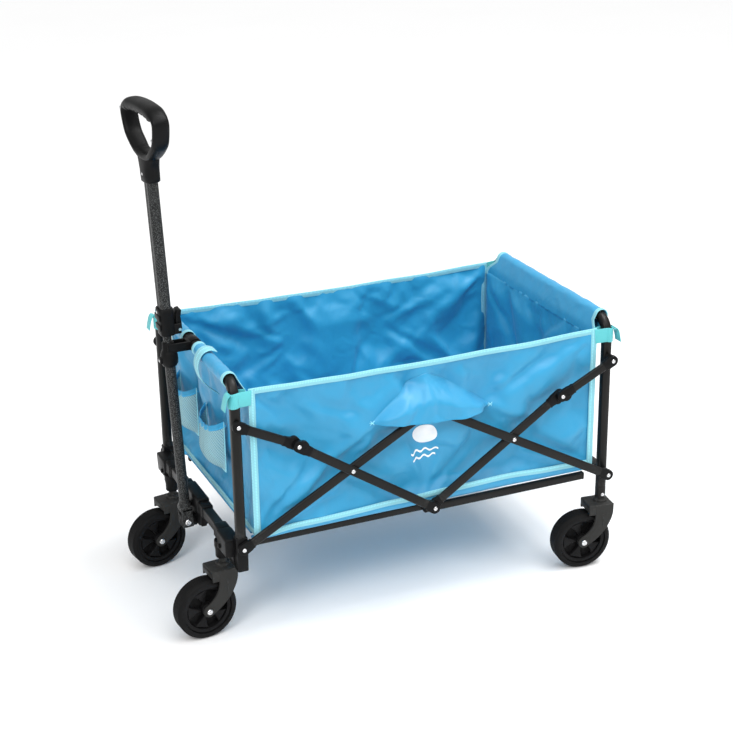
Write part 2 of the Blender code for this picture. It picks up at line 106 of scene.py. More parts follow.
class CartSizes(bpy.types.PropertyGroup):
    """Sizes of the sewn parts and fittings."""

    square: length("Cloth square", "Side of one square of the cloth panels before they are smoothed", 0.0085)
    cloth: length("Cloth thickness", "Thickness of the coated cloth", 0.0006)
    tape: length("Tape width", "Visible width of the binding tape", 0.0120)
    strap: length("Strap width", "Width of the corner straps", 0.0300)
    slack: share("Cloth slack", "Spare length of the bag panels between their sewn edges", 0.045)
    bar_width: length("Bar width", "Height of the flat linkage bars", 0.0180)


class CartColours(bpy.types.PropertyGroup):
    """Colours of the finishes."""

    cloth: colour("Cloth", "Coated bag cloth", (0.020, 0.285, 0.520))
    tape: colour("Tape", "Binding tape", (0.260, 0.640, 0.740))
    webbing: colour("Webbing", "Straps at the corners", (0.110, 0.560, 0.600))
    mesh: colour("Mesh", "Pocket mesh", (0.360, 0.640, 0.720))
    paint: colour("Paint", "Powder coat of the frame", (0.0062, 0.0060, 0.0056))
    hammered: colour("Hammered paint", "Speckled paint of the pull handle", (0.0100, 0.0105, 0.0105))
    plastic: colour("Black plastic", "Moulded fittings", (0.0042, 0.0043, 0.0046))
    fork: colour("Fork plastic", "Caster forks", (0.026, 0.026, 0.025))
    tread: colour("Tread", "Wheel treads", (0.0050, 0.0050, 0.0052))
    zinc: colour("Zinc", "Rivets and bolts", (0.780, 0.780, 0.790))


def sizes():
    return bpy.context.scene.cart_sizes


def colours():
    return bpy.context.scene.cart_colours


# --- shader groups and finishes -------------------------------------------------------------


def new_group(name, inputs, outputs):
    """An empty shader group with its sockets and the nodes that carry them."""
    tree = bpy.data.node_groups.new(name, "ShaderNodeTree")
    for label, kind, default in inputs:
        socket = tree.interface.new_socket(label, in_out="INPUT", socket_type=kind)
        if default is not None:
            socket.default_value = default
    for label, kind in outputs:
        tree.interface.new_socket(label, in_out="OUTPUT", socket_type=kind)
    return tree, tree.nodes.new("NodeGroupInput"), tree.nodes.new("NodeGroupOutput")


def node(tree, kind, links=(), **settings):
    """Adds a node, sets its values by name, and feeds its inputs from (output, input) pairs."""
    made = tree.nodes.new(kind)
    for key, value in settings.items():
        if hasattr(made, key):
            setattr(made, key, value)
        else:
            made.inputs[key.replace("_", " ")].default_value = value
    for source, target in links:
        tree.links.new(source, made.inputs[target])
    return made


def object_place(tree):
    return node(tree, "ShaderNodeTexCoord").outputs["Object"]


def grain_group():
    """Fine grain: a height and a slow mask over the surface."""
    tree, given, made = new_group(
        "fine grain",
        [("Scale", "NodeSocketFloat", 900.0), ("Cloud Scale", "NodeSocketFloat", 14.0)],
        [("Height", "NodeSocketFloat"), ("Cloud", "NodeSocketFloat")],
    )
    place = object_place(tree)
    fine = node(tree, "ShaderNodeTexNoise", [(place, "Vector"), (given.outputs["Scale"], "Scale")], Detail=2.0)
    slow = node(
        tree, "ShaderNodeTexNoise", [(place, "Vector"), (given.outputs["Cloud Scale"], "Scale")], Detail=4.0
    )
    tree.links.new(fine.outputs["Fac"], made.inputs["Height"])
    tree.links.new(slow.outputs["Fac"], made.inputs["Cloud"])
    return tree


def wear_group():
    """Edge wear: a mask that is high on outer edges, broken up by noise."""
    tree, given, made = new_group(
        "edge wear", [("Amount", "NodeSocketFloat", 0.5)], [("Mask", "NodeSocketFloat")]
    )
    bend = node(tree, "ShaderNodeNewGeometry").outputs["Pointiness"]
    edge = node(tree, "ShaderNodeMapRange", [(bend, "Value")], From_Min=0.53, From_Max=0.62)
    cloud = node(tree, "ShaderNodeTexNoise", [(object_place(tree), "Vector")], Scale=160.0, Detail=3.0)
    patches = node(tree, "ShaderNodeMapRange", [(cloud.outputs["Fac"], "Value")], From_Min=0.42, From_Max=0.66)
    both = node(
        tree, "ShaderNodeMath", [(edge.outputs[0], 0), (patches.outputs[0], 1)], operation="MULTIPLY"
    )
    scaled = node(tree, "ShaderNodeMath", [(both.outputs[0], 0), (given.outputs["Amount"], 1)], operation="MULTIPLY")
    tree.links.new(scaled.outputs[0], made.inputs["Mask"])
    return tree


def dust_group():
    """Settled dust: a mask that is high on faces that look up."""
    tree, given, made = new_group("settled dust", [("Amount", "NodeSocketFloat", 0.3)], [("Mask", "NodeSocketFloat")])
    facing = node(tree, "ShaderNodeSeparateXYZ", [(node(tree, "ShaderNodeNewGeometry").outputs["Normal"], 0)])
    upward = node(tree, "ShaderNodeMapRange", [(facing.outputs["Z"], "Value")], From_Min=0.2, From_Max=1.0)
    cloud = node(tree, "ShaderNodeTexNoise", [(object_place(tree), "Vector")], Scale=55.0, Detail=6.0)
    both = node(
        tree, "ShaderNodeMath", [(upward.outputs[0], 0), (cloud.outputs["Fac"], 1)], operation="MULTIPLY"
    )
    scaled = node(tree, "ShaderNodeMath", [(both.outputs[0], 0), (given.outputs["Amount"], 1)], operation="MULTIPLY")
    tree.links.new(scaled.outputs[0], made.inputs["Mask"])
    return tree


def weave_group():
    """Plain weave from the UV map, which is in metres: thread height and the gaps between threads."""
    tree, given, made = new_group(
        "plain weave",
        [("Threads", "NodeSocketFloat", 1200.0), ("Turn", "NodeSocketFloat", 0.0)],
        [("Height", "NodeSocketFloat"), ("Gap", "NodeSocketFloat")],
    )
    flat = node(tree, "ShaderNodeTexCoord").outputs["UV"]
    turned = node(
        tree, "ShaderNodeVectorRotate", [(flat, "Vector"), (given.outputs["Turn"], "Angle")], rotation_type="Z_AXIS"
    )
    scaled = node(
        tree, "ShaderNodeVectorMath", [(turned.outputs[0], 0), (given.outputs["Threads"], "Scale")], operation="SCALE"
    )
    parts = node(tree, "ShaderNodeSeparateXYZ", [(scaled.outputs[0], 0)])
    waves = []
    for axis in ("X", "Y"):
        angle = node(tree, "ShaderNodeMath", [(parts.outputs[axis], 0)], operation="MULTIPLY")
        angle.inputs[1].default_value = math.tau
        wave = node(tree, "ShaderNodeMath", [(angle.outputs[0], 0)], operation="SINE")
        waves.append(wave.outputs[0])
    high = node(tree, "ShaderNodeMath", [(waves[0], 0), (waves[1], 1)], operation="MAXIMUM")
    low = node(tree, "ShaderNodeMath", [(waves[0], 0), (waves[1], 1)], operation="MINIMUM")
    tree.links.new(high.outputs[0], made.inputs["Height"])
    tree.links.new(low.outputs[0], made.inputs["Gap"])
    return tree


def group_node(tree, group, **values):
    made = tree.nodes.new("ShaderNodeGroup")
    made.node_tree = bpy.data.node_groups[group]
    for key, value in values.items():
        made.inputs[key.replace("_", " ")].default_value = value
    return made


def mixed(tree, mask, under, over):
    """A colour that goes from under to over as the mask rises. Each is a colour or an output."""
    mix = tree.nodes.new("ShaderNodeMix")
    mix.data_type = "RGBA"
    tree.links.new(mask, mix.inputs["Factor"])
    for source, socket in ((under, mix.inputs[6]), (over, mix.inputs[7])):
        if isinstance(source, bpy.types.NodeSocket):
            tree.links.new(source, socket)
        else:
            socket.default_value = (*source, 1)
    return mix.outputs[2]


def ranged(tree, value, low, high, start=0.3, end=0.7):
    """The value as it goes from start to end, spread over low to high."""
    made = node(tree, "ShaderNodeMapRange", [(value, "Value")], From_Min=start, From_Max=end)
    made.inputs["To Min"].default_value = low
    made.inputs["To Max"].default_value = high
    return made.outputs[0]


def scaled_colour(base, factor):
    return tuple(min(1.0, part * factor) for part in base)


def bump(tree, height, distance, strength=1.0, under=None):
    made = node(tree, "ShaderNodeBump", [(height, "Height")], Strength=strength, Distance=distance)
    if under is not None:
        tree.links.new(under, made.inputs["Normal"])
    return made.outputs["Normal"]


def start_finish(name, **values):
    """A new material and its Principled shader, with the uniform values set on the shader."""
    made = bpy.data.materials.new(name)
    made.use_nodes = True
    shader = made.node_tree.nodes["Principled BSDF"]
    for key, value in values.items():
        shader.inputs[key.replace("_", " ")].default_value = value
    return made, made.node_tree, shader


def feed(tree, shader, **outputs):
    for key, output in outputs.items():
        tree.links.new(output, shader.inputs[key.replace("_", " ")])


def cloth_finish():
    """Coated polyester: glossy, finely woven, a little uneven in colour, with small dents."""
    base = tuple(colours().cloth)
    made, tree, shader = start_finish("blue_coated_cloth", Specular_IOR_Level=0.5, Sheen_Weight=0.06)
    grain = group_node(tree, "fine grain", Scale=240.0, Cloud_Scale=7.0)
    weave = group_node(tree, "plain weave", Threads=900.0)
    place = object_place(tree)
    dents = node(tree, "ShaderNodeTexNoise", [(place, "Vector")], Scale=26.0, Detail=2.0, Distortion=1.2)
    folds = node(tree, "ShaderNodeTexNoise", [(place, "Vector")], Scale=11.0, Detail=1.0, Distortion=2.2)
    patchy = mixed(tree, grain.outputs["Cloud"], scaled_colour(base, 0.86), scaled_colour(base, 1.12))
    threads = ranged(tree, weave.outputs["Gap"], 0.0, 0.16, -1.0, 0.2)
    tinted = mixed(tree, threads, patchy, scaled_colour(base, 1.3))
    dust = group_node(tree, "settled dust", Amount=0.10)
    tinted = mixed(tree, dust.outputs["Mask"], tinted, (0.55, 0.62, 0.66))
    normal = bump(tree, folds.outputs["Fac"], 0.010, 0.22)
    normal = bump(tree, dents.outputs["Fac"], 0.0030, 0.22, normal)
    normal = bump(tree, weave.outputs["Height"], 0.00005, 0.5, normal)
    feed(tree, shader, Base_Color=tinted, Normal=normal)
    feed(tree, shader, Roughness=ranged(tree, grain.outputs["Cloud"], 0.36, 0.50))
    return made


def tape_finish(name, base, threads, stitched):
    """Ribbed woven tape; with a line of stitches near each edge where it binds."""
    made, tree, shader = start_finish(name, Specular_IOR_Level=0.35, Sheen_Weight=0.15)
    grain = group_node(tree, "fine grain", Scale=500.0, Cloud_Scale=18.0)
    weave = group_node(tree, "plain weave", Threads=threads)
    patchy = mixed(tree, grain.outputs["Cloud"], scaled_colour(base, 0.88), scaled_colour(base, 1.08))
    gaps = ranged(tree, weave.outputs["Gap"], 0.0, 0.35, 0.2, -1.0)
    tinted = mixed(tree, gaps, patchy, scaled_colour(base, 0.55))
    normal = bump(tree, weave.outputs["Height"], 0.0002, 0.6)
    if stitched:
        flat = node(tree, "ShaderNodeTexCoord").outputs["UV"]
        parts = node(tree, "ShaderNodeSeparateXYZ", [(flat, 0)])
        run = node(tree, "ShaderNodeMath", [(parts.outputs["X"], 0)], operation="MULTIPLY")
        run.inputs[1].default_value = math.tau / 0.0032
        dash = node(tree, "ShaderNodeMath", [(run.outputs[0], 0)], operation="SINE")
        line = node(tree, "ShaderNodeMath", [(parts.outputs["Y"], 0)], operation="PINGPONG")
        line.inputs[1].default_value = 0.0062
        near = ranged(tree, line.outputs[0], 1.0, 0.0, 0.0012, 0.0019)
        on = ranged(tree, dash.outputs[0], 0.0, 1.0, -0.5, 0.1)
        stitch = node(tree, "ShaderNodeMath", [(near, 0), (on, 1)], operation="MULTIPLY")
        tinted = mixed(tree, stitch.outputs[0], tinted, scaled_colour(base, 1.25))
        normal = bump(tree, stitch.outputs[0], 0.0004, 0.8, normal)
    feed(tree, shader, Base_Color=tinted, Normal=normal)
    feed(tree, shader, Roughness=ranged(tree, grain.outputs["Cloud"], 0.50, 0.68))
    return made


def mesh_finish():
    """Knitted pocket mesh with small round holes in a slanting pattern."""
    base = tuple(colours().mesh)
    made, tree, shader = start_finish("aqua_pocket_mesh", Specular_IOR_Level=0.3)
    weave = group_node(tree, "plain weave", Threads=240.0, Turn=math.radians(38))
    holes = ranged(tree, weave.outputs["Height"], 0.0, 1.0, -0.22, -0.02)
    tinted = mixed(tree, ranged(tree, weave.outputs["Gap"], 0.0, 1.0, -0.6, 0.6), scaled_colour(base, 0.8), base)
    feed(tree, shader, Base_Color=tinted, Alpha=holes, Normal=bump(tree, weave.outputs["Height"], 0.0006, 0.8))
    feed(tree, shader, Roughness=ranged(tree, weave.outputs["Gap"], 0.55, 0.75, -1.0, 1.0))
    return made


def paint_finish(name, base, speckle, rough):
    """Powder coat with fine orange peel, light wear on its edges and a little dust."""
    made, tree, shader = start_finish(name, Coat_Roughness=0.25, Specular_IOR_Level=0.15)
    grain = group_node(tree, "fine grain", Scale=700.0, Cloud_Scale=9.0)
    wear = group_node(tree, "edge wear", Amount=0.35)
    dust = group_node(tree, "settled dust", Amount=0.022)
    tinted = mixed(tree, grain.outputs["Cloud"], scaled_colour(base, 0.8), scaled_colour(base, 1.25))
    normal = bump(tree, grain.outputs["Height"], 0.00025, 0.35)
    if speckle:
        spots = node(tree, "ShaderNodeTexVoronoi", [(object_place(tree), "Vector")], Scale=520.0)
        light = ranged(tree, spots.outputs["Distance"], 0.95, 0.0, 0.22, 0.46)
        tinted = mixed(tree, light, tinted, scaled_colour(base, 11.0))
        dark = ranged(tree, grain.outputs["Height"], 0.0, 0.6, 0.60, 0.75)
        tinted = mixed(tree, dark, tinted, scaled_colour(base, 0.35))
        normal = bump(tree, spots.outputs["Distance"], 0.0005, 0.7, normal)
    tinted = mixed(tree, wear.outputs["Mask"], tinted, (0.12, 0.115, 0.11))
    tinted = mixed(tree, dust.outputs["Mask"], tinted, (0.34, 0.33, 0.31))
    coat = ranged(tree, grain.outputs["Cloud"], 0.03, 0.14)
    feed(tree, shader, Base_Color=tinted, Normal=normal, Coat_Weight=coat)
    feed(tree, shader, Roughness=ranged(tree, grain.outputs["Cloud"], rough - 0.06, rough + 0.10))
    return made


def plastic_finish(name, base, rough, grain_scale=1100.0, depth=0.00022):
    """Moulded plastic or rubber with a fine grain, scuffed edges and dust."""
    made, tree, shader = start_finish(name, Specular_IOR_Level=0.11)
    grain = group_node(tree, "fine grain", Scale=grain_scale, Cloud_Scale=16.0)
    wear = group_node(tree, "edge wear", Amount=0.45)
    dust = group_node(tree, "settled dust", Amount=0.016)
    tinted = mixed(tree, grain.outputs["Cloud"], scaled_colour(base, 0.82), scaled_colour(base, 1.2))
    tinted = mixed(tree, wear.outputs["Mask"], tinted, scaled_colour(base, 4.0))
    tinted = mixed(tree, dust.outputs["Mask"], tinted, (0.32, 0.31, 0.29))
    feed(tree, shader, Base_Color=tinted, Normal=bump(tree, grain.outputs["Height"], depth, 0.5))
    feed(tree, shader, Roughness=ranged(tree, grain.outputs["Cloud"], rough - 0.08, rough + 0.10))
    return made


def zinc_finish():
    """Bright plated steel with faint brushing and dull spots."""
    base = tuple(colours().zinc)
    made, tree, shader = start_finish("bright_zinc", Metallic=1.0)
    grain = group_node(tree, "fine grain", Scale=1500.0, Cloud_Scale=220.0)
    tinted = mixed(tree, grain.outputs["Cloud"], scaled_colour(base, 0.72), base)
    feed(tree, shader, Base_Color=tinted, Normal=bump(tree, grain.outputs["Height"], 0.0001, 0.4))
    feed(tree, shader, Roughness=ranged(tree, grain.outputs["Cloud"], 0.34, 0.18))
    return made


def print_finish():
    """White screen print, worn thin in places."""
    made, tree, shader = start_finish("white_print", Specular_IOR_Level=0.4)
    grain = group_node(tree, "fine grain", Scale=800.0, Cloud_Scale=60.0)
    tinted = mixed(tree, ranged(tree, grain.outputs["Cloud"], 0.0, 1.0), (0.80, 0.86, 0.90), (0.92, 0.93, 0.94))
    feed(tree, shader, Base_Color=tinted, Normal=bump(tree, grain.outputs["Height"], 0.0001, 0.4))
    feed(tree, shader, Roughness=ranged(tree, grain.outputs["Cloud"], 0.42, 0.60))
    return made


def floor_finish():
    """Matt pale studio floor."""
    made, tree, shader = start_finish("pale_floor", Specular_IOR_Level=0.1)
    grain = group_node(tree, "fine grain", Scale=60.0, Cloud_Scale=1.5)
    tinted = mixed(tree, grain.outputs["Cloud"], (0.93, 0.93, 0.93), (0.95, 0.95, 0.95))
    feed(tree, shader, Base_Color=tinted)
    feed(tree, shader, Roughness=ranged(tree, grain.outputs["Cloud"], 0.85, 0.95))
    return made


def finish(name):
    """The finish of that name, made the first time it is asked for."""
    tint = colours()
    makers = {
        "cloth": cloth_finish,
        "tape": lambda: tape_finish("aqua_binding_tape", tuple(tint.tape), 700.0, True),
        "webbing": lambda: tape_finish("teal_webbing", tuple(tint.webbing), 420.0, False),
        "elastic": lambda: tape_finish("blue_elastic", scaled_colour(tuple(tint.cloth), 1.15), 500.0, True),
        "mesh": mesh_finish,
        "paint": lambda: paint_finish("frame_paint_coat", tuple(tint.paint), False, 0.36),
        "hammered": lambda: paint_finish("hammered_handle_paint", tuple(tint.hammered), True, 0.40),
        "plastic": lambda: plastic_finish("black_moulded_plastic", tuple(tint.plastic), 0.40),
        "fork": lambda: plastic_finish("grey_fork_plastic", tuple(tint.fork), 0.44),
        "wheel": lambda: plastic_finish("wheel_plastic", (0.0055, 0.0055, 0.0060), 0.27),
        "tread": lambda: plastic_finish("tread_rubber_black", tuple(tint.tread), 0.58, 600.0, 0.0004),
        "zinc": zinc_finish,
        "print": print_finish,
        "floor": floor_finish,
    }
    if name not in FINISHES:
        FINISHES[name] = makers[name]()
    return FINISHES[name]


FINISHES = {}


def make_groups():
    if "fine grain" not in bpy.data.node_groups:
        for maker in (grain_group, wear_group, dust_group, weave_group):
            maker()


# --- shapes ---------------------------------------------------------------------------------


def circle(radius, steps=24):
    return [(radius * math.cos(math.tau * i / steps), radius * math.sin(math.tau * i / steps)) for i in range(steps)]


def squircle(half_a, half_b, power=3.0, steps=24):
    """A closed outline between an ellipse (power 2) and a rectangle."""
    points = []
    for i in range(steps):
        c, s = math.cos(math.tau * i / steps), math.sin(math.tau * i / steps)
        a = half_a * math.copysign(abs(c) ** (2 / power), c)
        b = half_b * math.copysign(abs(s) ** (2 / power), s)
        points.append((a, b))
    return points


def rounded(half_a, half_b, radius, steps=4):
    """A closed rectangle outline with round corners."""
    points = []
    for i, (sa, sb) in enumerate(((1, 1), (-1, 1), (-1, -1), (1, -1))):
        centre = (sa * (half_a - radius), sb * (half_b - radius))
        points += arc(centre, radius, 90 * i, 90 * i + 90, steps)
    return points


def arc(centre, radius, start, end, steps):
    """Points on an arc, angles in degrees."""
    angles = [math.radians(start + (end - start) * i / steps) for i in range(steps + 1)]
    return [(centre[0] + radius * math.cos(a), centre[1] + radius * math.sin(a)) for a in angles]


def smooth_path(points, steps=6, closed=False):
    """A Catmull-Rom curve through the points."""
    points = [Vector(p) for p in points]
    count = len(points)
    made = []
    for i in range(count if closed else count - 1):
        a, b = points[(i - 1) % count if closed else max(i - 1, 0)], points[i]
        c, d = points[(i + 1) % count], points[(i + 2) % count if closed else min(i + 2, count - 1)]
        for k in range(steps):
            t = k / steps
            made.append(
                0.5 * ((2 * b) + (c - a) * t + (2 * a - 5 * b + 4 * c - d) * t**2 + (3 * b - a - 3 * c + d) * t**3)
            )
    if not closed:
        made.append(points[-1])
    return made


def add_rings(bm, rings, spans, rounds, index, closed=False, wrap=True, ends=True):
    """Joins rings of vertices with quads whose UVs are metres along and around."""
    uv = bm.loops.layers.uv.verify()
    steps = len(rings[0])
    total = len(rings)
    for i in range(total if closed else total - 1):
        near, far = rings[i], rings[(i + 1) % total]
        for k in range(steps if wrap else steps - 1):
            j = (k + 1) % steps
            face = bm.faces.new((near[k], near[j], far[j], far[k]))
            face.material_index = index
            marks = ((i, k), (i, k + 1), (i + 1, k + 1), (i + 1, k))
            for loop, (a, b) in zip(face.loops, marks):
                loop[uv].uv = (spans[a], rounds[b])
    if ends and not closed:
        for ring in (rings[0][::-1], rings[-1]):
            face = bm.faces.new(ring)
            face.material_index = index


def lengths_along(points):
    found = [0.0]
    for a, b in zip(points, points[1:]):
        found.append(found[-1] + (Vector(b) - Vector(a)).length)
    return found


def add_sweep(bm, path, section, up=(0, 0, 1), index=0, closed=False, ends=True):
    """Sweeps an outline along a path. An outline point is (to the side, towards up)."""
    path = [Vector(p) for p in path]
    up = Vector(up)
    count = len(path)
    rings = []
    for i, point in enumerate(path):
        before = path[i - 1] if i or closed else point
        after = path[(i + 1) % count] if i + 1 < count or closed else point
        along = (after - before).normalized()
        side = along.cross(up).normalized()
        rise = side.cross(along)
        shape = section(i / max(count - 1, 1)) if callable(section) else section
        rings.append([bm.verts.new(point + side * a + rise * b) for a, b in shape])
        outline = shape
    spans = lengths_along(path + [path[0]])
    rounds = lengths_along([(a, b, 0) for a, b in list(outline) + [outline[0]]])
    add_rings(bm, rings, spans, rounds, index, closed=closed, ends=ends)


def add_turned(bm, profile, matrix, steps=28, index=0):
    """Turns a profile of (radius, height) about the matrix's Z axis; it is a ring if it ends where it starts."""
    ring_shaped = profile[0] == profile[-1]
    rings = []
    for radius, height in profile[:-1] if ring_shaped else profile:
        ring = [matrix @ Vector((a, b, height)) for a, b in circle(max(radius, 1e-5), steps)]
        rings.append([bm.verts.new(p) for p in ring])
    spans = lengths_along([(r, h, 0) for r, h in profile])
    widest = max(radius for radius, _ in profile)
    rounds = [widest * math.tau * k / steps for k in range(steps + 1)]
    add_rings(bm, rings, spans, rounds, index, closed=ring_shaped)


def absorb(bm, part, index, matrix=None):
    """Moves one bmesh into another."""
    if matrix is not None:
        part.transform(matrix)
    for face in part.faces:
        face.material_index = index
    held = bpy.data.meshes.new("part")
    part.to_mesh(held)
    part.free()
    bm.from_mesh(held)
    bpy.data.meshes.remove(held)


def add_block(bm, low, high, radius=0.002, index=0, matrix=None, narrow=1.0, steps=3):
    """A rounded block; its low end may be narrower than its high end."""
    low, high = Vector(low), Vector(high)
    part = bmesh.new()
    bmesh.ops.create_cube(part, size=1)
    for vert in part.verts:
        pinch = narrow if vert.co.z < 0 else 1.0
        vert.co = Vector((vert.co.x * pinch, vert.co.y * pinch, vert.co.z))
    part.transform(Matrix.Translation((low + high) / 2) @ Matrix.Diagonal((*(high - low), 1)))
    bmesh.ops.bevel(part, geom=part.edges[:], offset=radius, segments=steps, profile=0.5, affect="EDGES")
    absorb(bm, part, index, matrix)


def add_plate(bm, outline, low, high, matrix, radius=0.0015, index=0):
    """A flat outline given a thickness along the matrix's Z axis, with rounded rims."""
    points = [Vector(p) for p in outline]
    area = sum(a.cross(b) for a, b in zip(points, points[1:] + points[:1]))
    if area < 0:
        points.reverse()
    inward = []
    for i, point in enumerate(points):
        edge = (points[(i + 1) % len(points)] - points[i - 1]).normalized()
        inward.append(Vector((-edge.y, edge.x)))
    levels = []
    for k in range(4):
        turn = math.pi / 2 * k / 3
        levels.append((radius * (1 - math.sin(turn)), low + radius * (1 - math.cos(turn))))
    levels += [(inset, low + high - z) for inset, z in reversed(levels)]
    rings = []
    for inset, z in levels:
        ring = [matrix @ Vector((*(p + n * inset), z)) for p, n in zip(points, inward)]
        rings.append([bm.verts.new(p) for p in ring])
    spans = [z for _, z in levels]
    rounds = lengths_along([(*p, 0) for p in points + points[:1]])
    add_rings(bm, rings, spans, rounds, index)


FACE_Y = Matrix.Rotation(math.pi / 2, 4, "X")


def add_rivet(bm, place, outward, radius=0.0042, height=0.0022, index=2):
    """A domed rivet head with a small dimple, standing out along +Y or -Y."""
    profile = [
        (radius * 1.05, -0.0006),
        (radius * 1.05, 0.0003),
        (radius * 0.96, height * 0.55),
        (radius * 0.75, height * 0.88),
        (radius * 0.42, height),
        (radius * 0.30, height * 0.86),
        (0.0, height * 0.80),
    ]
    turn = Matrix.Rotation(-math.pi / 2 if outward > 0 else math.pi / 2, 4, "X")
    add_turned(bm, profile, Matrix.Translation(place) @ turn, 20, index)


def piece(name, bm, finishes, body, replaces=(), sharp=38):
    """Turns a bmesh into a piece of the cart that rides on a body."""
    bmesh.ops.recalc_face_normals(bm, faces=bm.faces[:])
    mesh = bpy.data.meshes.new(name)
    bm.to_mesh(mesh)
    bm.free()
    for word in finishes:
        mesh.materials.append(finish(word))
    mesh.shade_smooth()
    mesh.set_sharp_from_angle(angle=math.radians(sharp))
    obj = bpy.data.objects.new(name, mesh)
    bpy.context.scene.collection.objects.link(obj)
    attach(obj, body)
    if replaces:
        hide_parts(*replaces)
    return obj


# --- frame ends -----------------------------------------------------------------------------


def build_frame_ends():
    tube = squircle(0.0100, 0.0100, 2.7, 28)
    for x, foot, word in (
        (FRONT_X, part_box("front_hoop")[0].z, "front"),
        (REAR_X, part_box("rear_hoop")[0].z, "rear"),
    ):
        radius = 0.035
        bend = arc((POST_Y - radius, HOOP_Z - radius), radius, 0, 90, 12)
        levels = [foot + (HOOP_Z - radius - foot) * i / 10 for i in range(10)]
        half = [(POST_Y, z) for z in levels] + bend
        path = [(x, y, z) for y, z in half] + [(x, -y, z) for y, z in reversed(half)]
        bm = bmesh.new()
        add_sweep(bm, path, tube, up=(1, 0, 0))
        piece(f"hoop_{word}", bm, ["paint"], f"{word}_frame", [f"{word}_hoop"])
        low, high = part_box(f"{word}_crossbar")
        middle = (low + high) / 2
        bm = bmesh.new()
        run = [(middle.x, low.y + (high.y - low.y) * i / 8, middle.z) for i in range(9)]
        add_sweep(bm, run, rounded(0.0100, 0.0100, 0.0022))
        piece(f"crossbar_{word}", bm, ["paint"], f"{word}_frame", [f"{word}_crossbar"])


def build_mouldings():
    x = FRONT_X
    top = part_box("front_hoop")[0].z
    for side, word in SIDES:
        stem = PIVOT[f"swivel_front_{word}"]
        bm = bmesh.new()
        flip = Matrix.Diagonal((1, side, 1, 1))
        add_block(bm, (x - 0.0115, 0.2245, 0.1635), (x + 0.0115, 0.2458, top), 0.0022, 0, flip, 0.94)
        add_block(bm, (x - 0.0290, 0.1700, 0.1875), (x + 0.0030, 0.2280, 0.2285), 0.0045, 0, flip, 0.92)
        add_block(bm, (x - 0.0255, 0.1440, 0.2010), (x + 0.0012, 0.1750, 0.2285), 0.0030, 0, flip)
        add_block(bm, (x - 0.0240, 0.1400, 0.2035), (x - 0.0002, 0.1480, 0.2265), 0.0018, 0, flip)
        add_block(bm, (x - 0.0135, 0.1980, 0.1700), (x - 0.0095, 0.2260, 0.1900), 0.0012, 0, flip)
        boss = [
            (0.0085, 0.1640),
            (0.0125, 0.1640),
            (0.0135, 0.1655),
            (0.0135, 0.1790),
            (0.0150, 0.1880),
            (0.0150, 0.2000),
            (0.0, 0.2000),
        ]
        add_turned(bm, boss, Matrix.Translation((stem.x, stem.y, 0)))
        stud = Matrix.Translation((x - 0.0288, side * 0.189, 0.2000)) @ Matrix.Rotation(-math.pi / 2, 4, "Y")
        add_turned(bm, [(0.0050, -0.001), (0.0050, 0.0018), (0.0036, 0.0030), (0.0, 0.0032)], stud, 16)
        mould = piece(
            f"moulding_{word}", bm, ["plastic"], "front_frame", [f"corner_bracket_{word}"]
        )
        mould.data.update()

    pivot = PIVOT["handle_hinge"]
    bm = bmesh.new()
    add_block(bm, (x - 0.0248, -0.0460, 0.2020), (x + 0.0008, 0.0460, 0.2340), 0.0035)
    for side in (-1, 1):
        flip = Matrix.Diagonal((1, side, 1, 1))
        add_block(bm, (x - 0.0238, 0.0440, 0.2030), (x - 0.0002, 0.0720, 0.2290), 0.0028, 0, flip)
        add_block(bm, (x - 0.0180, 0.0240, 0.1700), (x - 0.0060, 0.0420, 0.2060), 0.0020, 0, flip)
    add_block(bm, (pivot.x + 0.0185, -0.0280, 0.1640), (pivot.x + 0.0400, 0.0280, 0.2050), 0.0030, 0, None, 0.90)
    add_block(bm, (pivot.x - 0.0120, -0.0098, pivot.z - 0.0120), (pivot.x + 0.0220, 0.0098, pivot.z + 0.0120), 0.0030)
    piece("handle_mount", bm, ["plastic"], "front_frame", ["handle_bracket"])

    low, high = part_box("handle_clip")
    bm = bmesh.new()
    tube_axis = Matrix.Translation((x, 0, HOOP_Z)) @ FACE_Y
    ring = [(0.0103, -0.0125), (0.0128, -0.0125), (0.0138, -0.0112), (0.0138, 0.0112), (0.0128, 0.0125), (0.0103, 0.0125)]
    add_turned(bm, ring, tube_axis, 28)
    for side in (-1, 1):
        flip = Matrix.Diagonal((1, side, 1, 1))
        add_block(bm, (low.x, 0.0094, low.z - 0.001), (x - 0.0090, 0.0130, high.z + 0.001), 0.0012, 0, flip)
        add_block(bm, (low.x - 0.001, 0.0088, low.z + 0.001), (low.x + 0.004, 0.0132, high.z - 0.001), 0.0010, 0, flip)
    add_block(bm, (high.x - 0.0060, -0.0125, low.z - 0.001), (high.x + 0.0030, 0.0125, high.z + 0.001), 0.0012)
    piece("tube_catch", bm, ["plastic"], "front_frame", ["handle_clip"])

    for side, word in SIDES:
        low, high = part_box(f"rear_socket_{word}")
        bm = bmesh.new()
        run = [(REAR_X, side * POST_Y, low.z - 0.004 + (high.z - low.z + 0.005) * i / 4) for i in range(5)]
        add_sweep(bm, run, squircle(0.0102, 0.0102, 2.7, 28), up=(1, 0, 0))
        place = (REAR_X, side * (POST_Y + 0.0100), 0.1615)
        add_rivet(bm, place, side, 0.0040, 0.0018, 1)
        piece(f"post_foot_{word}", bm, ["paint", "zinc"], "rear_frame", [f"rear_socket_{word}"])


# --- side linkage ---------------------------------------------------------------------------


